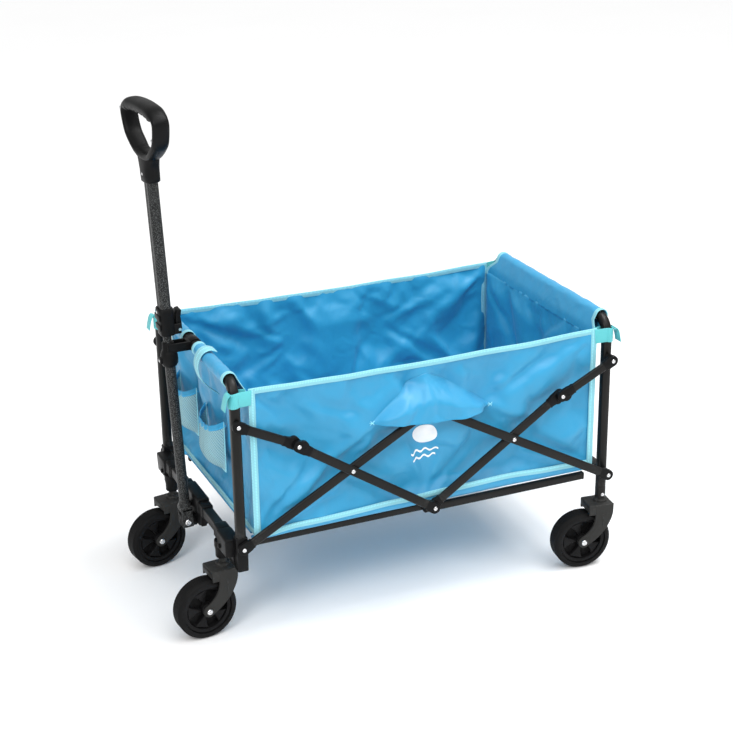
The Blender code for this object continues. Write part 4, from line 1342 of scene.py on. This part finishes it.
def build_rail(name, end_word):
    """Floor rail: a flat tube with plugged ends, under the edge of the bag."""
    low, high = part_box(f"floor_rail_{name}")
    middle = (low + high) / 2
    bm = bmesh.new()
    run = [(low.x + 0.004 + (high.x - low.x - 0.008) * i / 12, middle.y, middle.z) for i in range(13)]
    add_sweep(bm, run, rounded((high.y - low.y) / 2, (high.z - low.z) / 2, 0.0034, 5))
    for x in (low.x, high.x):
        reach = (x - 0.0001, x + 0.0062) if x == low.x else (x - 0.0062, x + 0.0001)
        plug_low = (reach[0], low.y - 0.0003, low.z - 0.0003)
        plug_high = (reach[1], high.y + 0.0003, high.z + 0.0003)
        add_block(bm, plug_low, plug_high, 0.0030, 1)
    piece(f"rail_{name}", bm, ["paint", "plastic"], f"floor_{end_word}", [f"floor_rail_{name}"])


def build_floor():
    """Boards covered in the bag's cloth, with a loose strip between them."""
    for end, word in ENDS:
        hinge = PIVOT[f"floor_{word}_hinge"]
        low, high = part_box(f"floor_panel_{word}")
        wide, tall = 54, 40
        outer = hinge.x + end * 0.0150
        inner = low.x if end == 1 else high.x

        def spot(u, v, outer=outer, inner=inner):
            x = outer + (inner - outer) * v
            y = (2 * u - 1) * 0.2035
            edge = min(u, 1 - u, v, 1 - v)
            lift = wander(x, y, 31, 12, 0.0007) * min(1.0, edge * 10)
            return Vector((x, y, 0.2229 + lift - 0.0010 * math.exp(-edge * 60)))

        obj = cloth_sheet(f"floor_cover_{word}", wide, tall, spot)
        finish_sheet(obj, f"floor_{word}", 0.0022, [f"floor_panel_{word}"], levels=0)
    low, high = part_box("bag_floor_centre")

    def strip(u, v):
        x = low.x - 0.001 + (high.x - low.x + 0.002) * u
        y = (2 * v - 1) * 0.2035
        dip = 0.0022 * math.sin(math.pi * u) ** 2
        return Vector((x, y, 0.2226 - dip + wander(x, y, 41, 20, 0.0008)))

    obj = cloth_sheet("floor_strip", 14, 50, strip)
    finish_sheet(obj, "front_frame", sizes().cloth, ["bag_floor_centre"])
    fold_up(obj)
    for end_word in ("front", "rear"):
        for side_word in ("left", "right"):
            build_rail(f"{end_word}_{side_word}", end_word)


# --- bindings, straps and flaps -------------------------------------------------------------


def tape_section(width, thick=0.0014):
    """Folded tape over an edge: its closed outline from the top of the fold downwards."""
    return [(a, b - width / 2 + 0.0014) for a, b in rounded(thick, width / 2, thick * 0.9, 3)]


def add_tape(bm, path, up, width=None, thick=0.0014, index=0):
    add_sweep(bm, path, tape_section(width or sizes().tape, thick), up=up, index=index)


def build_bindings():
    for side, word in SIDES:
        for level, edge in (("rim", lambda d, s: rim_z(d)), ("hem", hem_z)):
            path = []
            for i in range(93):
                dx = (2 * i / 92 - 1) * (PANEL_DX + 0.001)
                clamped = max(-PANEL_DX, min(PANEL_DX, dx))
                path.append((MIDDLE_X + dx, side * edge_y(clamped, 5.0 + side), edge(clamped, side)))
            if level == "hem":
                path = [(x, y, z + 0.0100) for x, y, z in path]
            bm = bmesh.new()
            add_tape(bm, path, (0, 0, 1))
            obj = piece(f"{level}_tape_{word}", bm, ["tape"], "front_frame")
            fold_up(obj)
        for end, end_word in ENDS:
            dx = end * PANEL_DX
            bottom, top = hem_z(dx, side), rim_z(dx)
            path = []
            for i in range(31):
                z = bottom + (top - bottom) * i / 30
                path.append((MIDDLE_X + dx + end * 0.001, side * (PANEL_Y + 0.0004 + wander(z, 0, 2 + side, 18, 0.0010)), z))
            bm = bmesh.new()
            add_tape(bm, path, (end, 0, 0), 0.0135, 0.0016)
            piece(f"corner_tape_{end_word}_{word}", bm, ["tape"], f"{end_word}_frame")
    for end, end_word in ENDS:
        bm = bmesh.new()
        path = []
        for i in range(61):
            y = (2 * i / 60 - 1) * 0.2380
            path.append((MIDDLE_X + end * (PANEL_DX + 0.0005), y, 0.2440 + wander(y, 0, 50 + end, 14, 0.0012)))
        add_tape(bm, path, (0, 0, 1))
        piece(f"hem_tape_{end_word}", bm, ["tape"], f"{end_word}_frame")


def sleeve_edge(end, y, side):
    """The end of a sleeve as a path: from the panel's corner up and over the hoop."""
    path = []
    for x, z in sleeve_line(end, 0.0010):
        outer = 1.0 + 0.115 * min(1.0, max(0.0, (0.545 - z) / 0.02)) if abs(y) > 0.1 else 1.0
        path.append((x, y * outer + side * 0.0006, z))
    return path


def build_sleeve_tapes():
    ends = [(-1, "front", s * 0.2130, s) for s in (-1, 1)]
    ends += [(1, "rear", s * 0.2130, s) for s in (-1, 1)]
    ends += [(-1, "front", s * 0.0330, -s) for s in (-1, 1)]
    for number, (end, word, y, outward) in enumerate(ends):
        bm = bmesh.new()
        path = sleeve_edge(end, y, outward)
        section = [(a, b) for a, b in rounded(0.0050, 0.0011, 0.0010, 3)]
        rings = []
        for i, point in enumerate(path):
            before, after = Vector(path[max(i - 1, 0)]), Vector(path[min(i + 1, len(path) - 1)])
            along = (after - before).normalized()
            side = Vector((0, 1, 0))
            out = along.cross(side) * end
            rings.append([bm.verts.new(Vector(point) + side * (a - outward * 0.0042) + out * b) for a, b in section])
        rounds = lengths_along([(a, b, 0) for a, b in section + section[:1]])
        add_rings(bm, rings, lengths_along(path), rounds, 0)
        piece(f"sleeve_tape_{word}_{number}", bm, ["tape"], f"{word}_frame")


def build_straps():
    half = sizes().strap / 2
    band = rounded(0.0007, half, 0.0006, 3)
    for side, word in SIDES:
        for end, end_word in ENDS:
            post = Vector((MIDDLE_X + end * (REAR_X - MIDDLE_X), side * POST_Y, 0))
            round_post = []
            for a, b in arc((0, 0), 0.0122, 120, -100, 16):
                round_post.append((post.x + end * a, post.y + side * b))
            start = (MIDDLE_X + end * 0.3690, side * (PANEL_Y + 0.0025))
            finish_at = (MIDDLE_X + end * 0.3740, side * 0.2290)
            line = [start, (MIDDLE_X + end * 0.3800, side * (PANEL_Y + 0.0045))] + round_post + [finish_at]
            line = smooth_path([(*p, 0) for p in line], 3)
            z = 0.5205
            path = [(p.x, p.y, z + 0.0012 * math.sin(k * 0.21)) for k, p in enumerate(line)]
            bm = bmesh.new()
            add_sweep(bm, path, band, up=(0, 0, 1))
            tail = [(0.4095, 0.5330), (0.4140, 0.5345), (0.4185, 0.5280), (0.4215, 0.5170), (0.4240, 0.5040)]
            tail = smooth_path([(MIDDLE_X + end * a, side * (POST_Y + 0.006), b) for a, b in tail], 4)
            add_sweep(bm, tail, rounded(0.0110, 0.0007, 0.0006, 3), up=(end, 0, 0.2))
            piece(f"strap_{end_word}_{word}", bm, ["webbing"], f"{end_word}_frame")


def build_loop():
    """Webbing loop sewn round the front sleeve, standing off the panel."""
    x = MIDDLE_X
    line = [(-0.3840, 0.5645), (-0.3920, 0.5685), (-0.4010, 0.5700), (-0.4110, 0.5660), (-0.4180, 0.5560), (-0.4215, 0.5420)]
    line += [(-0.4200, 0.5250), (-0.4130, 0.5060), (-0.4000, 0.4880), (-0.3860, 0.4740), (-0.3745, 0.4640)]
    y = -0.0860
    path = [Vector((x + p.x, y + 0.20 * (0.572 - p.y), p.y)) for p in smooth_path([(a, b, 0) for a, b in line], 4)]
    bm = bmesh.new()
    rings = []
    for i, point in enumerate(path):
        before, after = path[max(i - 1, 0)], path[min(i + 1, len(path) - 1)]
        along = (after - before).normalized()
        side = Vector((0, 1, 0))
        out = side.cross(along)
        taper = 0.0150 - 0.0100 * (i / len(path)) ** 3
        rings.append([bm.verts.new(point + side * a + out * b) for a, b in rounded(taper, 0.0008, 0.0007, 3)])
    rounds = lengths_along([(a, b, 0) for a, b in rounded(0.013, 0.0008, 0.0007, 3)] + [(0.013, 0, 0)])
    add_rings(bm, rings, lengths_along(path), rounds, 0)
    piece("pull_loop", bm, ["tape"], "front_frame")


def surface_of(name):
    """The shape of a finished sheet, for laying other pieces on it."""
    mesh = bpy.data.objects[name].data
    return BVHTree.FromPolygons([v.co for v in mesh.vertices], [p.vertices for p in mesh.polygons])


def lay_on(surface, x, z, side, height):
    """A place on a side panel at x and z, standing off it by the height."""
    hit, _, _, _ = surface.ray_cast(Vector((x, side * 0.300, z)), Vector((0, -side, 0)))
    if hit is None:
        hit = Vector((x, side * PANEL_Y, z))
    return Vector((x, hit.y + side * height, z))


def flap_spot(surface, side, u, v):
    """A place on the crescent flap: v is 0 along its sewn top and 1 at its free lower edge."""
    s = 2 * u - 1
    sign = 1 if side == -1 else -1
    dx = 0.0050 + s * 0.1340
    low = 0.4150 + 0.0030 * abs(s) ** 2.2 - 0.0065 * s
    peak = 0.5080 - (0.0900 + 0.0065 * s) * abs(s + 0.12 * (1 - s * s)) ** 1.25
    high = max(low + 0.0008, peak)
    z = high + (low - high) * v
    open_here = (1 - abs(s) ** 4) * min(1.0, (high - low) / 0.022)
    lift = 0.0332 * open_here * math.sin(min(1.0, v / 0.64) * math.pi / 2) ** 1.7
    apex = Vector((-0.012, 0.510))
    turn = math.atan2(dx - apex.x, apex.y - z)
    far = min(1.0, (Vector((dx, z)) - apex).length / 0.03)
    ridges = 0.0020 * math.cos(9 * turn + 0.6) + 0.0010 * math.cos(21 * turn + 2.1 + 4 * v)
    lift += ridges * far * open_here * math.sin(math.pi * min(1.0, v * 0.75 + 0.02))
    x = MIDDLE_X + dx * sign
    spot = lay_on(surface, x, z, side, 0.0008)
    sunk = max(0.0, PANEL_Y - side * spot.y)
    spot.y += side * (max(0.0, lift) + sunk * open_here * min(1.0, v / 0.5))
    return spot


def build_flaps():
    for side, word in SIDES:
        surface = surface_of(f"side_panel_{word}")
        obj = cloth_sheet(f"flap_{word}", 56, 24, lambda u, v, s=side: flap_spot(surface, s, u, v))
        finish_sheet(obj, "front_frame", sizes().cloth)
        fold_up(obj)
        path = [flap_spot(surface, side, 0.004 + 0.992 * i / 48, 1.0) for i in range(49)]
        bm = bmesh.new()
        add_tape(bm, path, (0, 0, -1), 0.0030, 0.0005)
        for u in (0.01, 0.99):
            corner = flap_spot(surface, side, u, 1.0) + Vector((0, side * 0.0010, 0.001))
            for turn in (-40, 10, 50):
                away = Matrix.Translation(corner) @ Matrix.Rotation(math.radians(turn), 4, "Y")
                add_block(bm, (-0.0060, -0.0004, -0.0006), (0.0060, 0.0004, 0.0006), 0.0003, 1, away, steps=1)
        obj = piece(f"flap_edge_{word}", bm, ["elastic", "tape"], "front_frame")
        fold_up(obj)


def build_print():
    """A plain round mark over two waves, printed on each side panel below the flap."""
    for side, word in SIDES:
        surface = surface_of(f"side_panel_{word}")
        sign = 1 if side == -1 else -1
        bm = bmesh.new()
        shapes = [(circle(1.0, 40), circle(0.0, 40), (-0.008, 0.3750), 0.0225)]
        for row, z in enumerate((0.3385, 0.3250)):
            top = []
            for i in range(41):
                across = (2 * i / 40 - 1) * (1.0 - 0.14 * row)
                top.append((across, 0.085 * math.sin(9.5 * across + row)))
            bottom = [(a, b - 0.13) for a, b in top]
            shapes.append((top, bottom, (-0.008, z), 0.0310))
        for outer, inner, centre, scale in shapes:
            wrap = len(outer) == 40
            rings = []
            for k in range(7 if wrap else 2):
                t = k / 6 if wrap else k
                ring = []
                for (a, b), (c, d) in zip(outer, inner):
                    dx = centre[0] + scale * (a + (c - a) * t)
                    z = centre[1] + scale * (b + (d - b) * t)
                    ring.append(bm.verts.new(lay_on(surface, MIDDLE_X + dx * sign, z, side, 0.0006)))
                rings.append(ring)
            spans = [scale * k / 6 for k in range(len(rings))]
            rounds = [scale * k / 10 for k in range(len(outer) + 1)]
            add_rings(bm, rings, spans, rounds, 0, wrap=wrap, ends=False)
        obj = piece(f"print_{word}", bm, ["print"], "front_frame")
        fold_up(obj)


# --- pockets --------------------------------------------------------------------------------


def pocket_spot(middle, low, high, half, u, v):
    """A place on a gaping pocket; v is 0 at its sewn foot and 1 at its open mouth, u runs to +Y."""
    s = 2 * u - 1
    fill = (1 - abs(s) ** 2.8) ** 0.8
    out = math.sin(min(1.0, v / 0.5) * math.pi / 2) ** 0.75
    depth = 0.034 * fill * out * (1.0 - 0.25 * v)
    droop = 0.012 * fill * math.sin(min(1.0, v / 0.25) * math.pi / 2) + 0.005 * fill * v**1.4
    x = MIDDLE_X - PANEL_DX - 0.0030 - depth
    z = low + (high - low) * v - droop
    ripple = 0.0012 * math.sin(38 * u) * v**3 * fill
    return Vector((x - ripple, middle + s * half, z))


def build_pockets():
    for side, word in SIDES:
        low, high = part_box(f"pocket_{word}")
        middle, half = (low.y + high.y) / 2, (high.y - low.y) / 2
        give = (middle, low.z + 0.011, high.z, half)
        obj = cloth_sheet(f"mesh_pocket_{word}", 30, 26, lambda u, v, g=give: pocket_spot(*g, u, v))
        finish_sheet(obj, "front_frame", 0.0008, [f"pocket_{word}"], word="mesh")
        bm = bmesh.new()
        mouth = [pocket_spot(*give, i / 40, 1.0) for i in range(41)]
        add_tape(bm, mouth, (0, 0, 1), 0.0120, 0.0013)
        edge = [pocket_spot(*give, 0.0, 1 - i / 12) for i in range(12)]
        edge += [pocket_spot(*give, i / 20, 0.0) for i in range(21)]
        edge += [pocket_spot(*give, 1.0, (i + 1) / 12) for i in range(12)]
        rings = []
        for i, point in enumerate(edge):
            before, after = edge[max(i - 1, 0)], edge[min(i + 1, len(edge) - 1)]
            along = (after - before).normalized()
            side_way = along.cross(Vector((-1, 0, 0))).normalized()
            tape = rounded(0.0035, 0.0008, 0.0007, 3)
            rings.append([bm.verts.new(point + side_way * a + Vector((-b, 0, 0))) for a, b in tape])
        add_rings(bm, rings, lengths_along(edge), [0.0002 * k for k in range(17)], 1)
        piece(f"pocket_tape_{word}", bm, ["elastic", "tape"], "front_frame")


# --- stage ----------------------------------------------------------------------------------


def build_stage():
    scene = bpy.context.scene
    for name in ("Cube", "Light", "Camera"):
        if name in bpy.data.objects:
            bpy.data.objects.remove(bpy.data.objects[name], do_unlink=True)
    floor = bpy.data.meshes.new("studio_floor")
    reach = 40.0
    floor.from_pydata([(-reach, -reach, 0), (reach, -reach, 0), (reach, reach, 0), (-reach, reach, 0)], [], [(0, 1, 2, 3)])
    floor.materials.append(finish("floor"))
    ground = bpy.data.objects.new("studio_floor", floor)
    ground.location.z = -0.0006
    scene.collection.objects.link(ground)

    world = scene.world or bpy.data.worlds.new("studio")
    scene.world = world
    world.use_nodes = True
    light = world.node_tree.nodes["Background"]
    light.inputs["Color"].default_value = (1, 1, 1, 1)
    light.inputs["Strength"].default_value = 0.55
    sun = bpy.data.lights.new("soft_sun", "SUN")
    sun.energy = 1.7
    sun.angle = math.radians(55)
    sky = bpy.data.objects.new("soft_sun", sun)
    sky.rotation_euler = (math.radians(28), math.radians(6), 0)
    scene.collection.objects.link(sky)
    lamps = (
        ("key_light", (-2.6, -2.4, 3.0), 1.3, 60),
        ("top_light", (1.4, -0.4, 3.6), 1.4, 70),
        ("side_light", (3.0, -2.6, 1.6), 1.0, 8),
    )
    for name, place, size, power in lamps:
        data = bpy.data.lights.new(name, "AREA")
        data.size = size
        data.energy = power
        lamp = bpy.data.objects.new(name, data)
        lamp.location = place
        lamp.rotation_mode = "QUATERNION"
        lamp.rotation_quaternion = (Vector((0, 0, 0.35)) - lamp.location).to_track_quat("-Z", "Y")
        scene.collection.objects.link(lamp)

    azimuth, elevation, roll = math.radians(-23.26), math.radians(21.6), math.radians(-0.92)
    camera = bpy.data.cameras.new("view")
    camera.sensor_width = 36
    camera.lens = 80.6
    camera.clip_end = 60
    eye = bpy.data.objects.new("view", camera)
    forward = Vector(
        (-math.sin(azimuth) * math.cos(elevation), math.cos(azimuth) * math.cos(elevation), -math.sin(elevation))
    )
    level = Vector((math.cos(azimuth), math.sin(azimuth), 0))
    rise = level.cross(forward)
    right = level * math.cos(roll) + rise * math.sin(roll)
    up = -level * math.sin(roll) + rise * math.cos(roll)
    turn = Matrix((right, up, -forward)).transposed()
    eye.matrix_world = Matrix.Translation((-1.2315, -2.909, 1.692)) @ turn.to_4x4()
    scene.collection.objects.link(eye)
    scene.camera = eye
    scene.view_settings.view_transform = "Standard"


# --- operators ------------------------------------------------------------------------------


class CART_OT_stage(bpy.types.Operator):
    """Pale floor, soft lights and the camera"""

    bl_idname = "cart.stage"
    bl_label = "Stage"

    def execute(self, context):
        make_groups()
        build_stage()
        return {"FINISHED"}


class CART_OT_frame_ends(bpy.types.Operator):
    """Front and rear hoops and their crossbars"""

    bl_idname = "cart.frame_ends"
    bl_label = "Frame ends"

    def execute(self, context):
        build_frame_ends()
        return {"FINISHED"}


class CART_OT_mouldings(bpy.types.Operator):
    """Corner mouldings, handle mount, tube catch and rear post feet"""

    bl_idname = "cart.mouldings"
    bl_label = "Mouldings"

    def execute(self, context):
        build_mouldings()
        return {"FINISHED"}


class CART_OT_linkage(bpy.types.Operator):
    """The flat folding bars on both sides"""

    bl_idname = "cart.linkage"
    bl_label = "Linkage"

    def execute(self, context):
        build_linkage()
        return {"FINISHED"}


class CART_OT_casters(bpy.types.Operator):
    """Four forks, axles, wheel discs and treads"""

    bl_idname = "cart.casters"
    bl_label = "Casters"

    def execute(self, context):
        for end in ("front", "rear"):
            for side in ("left", "right"):
                build_caster(f"{end}_{side}")
        return {"FINISHED"}


class CART_OT_handle(bpy.types.Operator):
    """Yoke, tubes, ball joint, clamp and grip"""

    bl_idname = "cart.handle"
    bl_label = "Handle"

    def execute(self, context):
        build_handle()
        return {"FINISHED"}


class CART_OT_bag(bpy.types.Operator):
    """Cloth panels, sleeves and floor"""

    bl_idname = "cart.bag"
    bl_label = "Bag"

    def execute(self, context):
        build_bag()
        return {"FINISHED"}


class CART_OT_trim(bpy.types.Operator):
    """Binding tapes, corner straps, pull loop and flaps"""

    bl_idname = "cart.trim"
    bl_label = "Trim"

    def execute(self, context):
        build_bindings()
        build_sleeve_tapes()
        build_straps()
        build_loop()
        build_flaps()
        build_print()
        return {"FINISHED"}


class CART_OT_pockets(bpy.types.Operator):
    """Two mesh pockets on the front panel"""

    bl_idname = "cart.pockets"
    bl_label = "Pockets"

    def execute(self, context):
        build_pockets()
        return {"FINISHED"}


STEPS = (
    CART_OT_stage,
    CART_OT_frame_ends,
    CART_OT_mouldings,
    CART_OT_linkage,
    CART_OT_casters,
    CART_OT_handle,
    CART_OT_bag,
    CART_OT_trim,
    CART_OT_pockets,
)


class CART_PT_panel(bpy.types.Panel):
    """Lists the steps that build the cart"""

    bl_idname = "CART_PT_panel"
    bl_label = "Beach cart"
    bl_space_type = "VIEW_3D"
    bl_region_type = "UI"
    bl_category = "Beach Cart"

    def draw(self, context):
        for group in (context.scene.cart_sizes, context.scene.cart_colours):
            for key in group.bl_rna.properties.keys():
                if key not in ("rna_type", "name"):
                    self.layout.prop(group, key)
        for step in STEPS:
            self.layout.operator(step.bl_idname)


CLASSES = (CartSizes, CartColours, *STEPS, CART_PT_panel)


def register():
    for made in CLASSES:
        bpy.utils.register_class(made)
    bpy.types.Scene.cart_sizes = bpy.props.PointerProperty(type=CartSizes)
    bpy.types.Scene.cart_colours = bpy.props.PointerProperty(type=CartColours)


def unregister():
    del bpy.types.Scene.cart_colours
    del bpy.types.Scene.cart_sizes
    for made in reversed(CLASSES):
        bpy.utils.unregister_class(made)


def main():
    register()
    for step in STEPS:
        group, name = step.bl_idname.split(".")
        getattr(getattr(bpy.ops, group), name)()


if __name__ == "__main__":
    main()
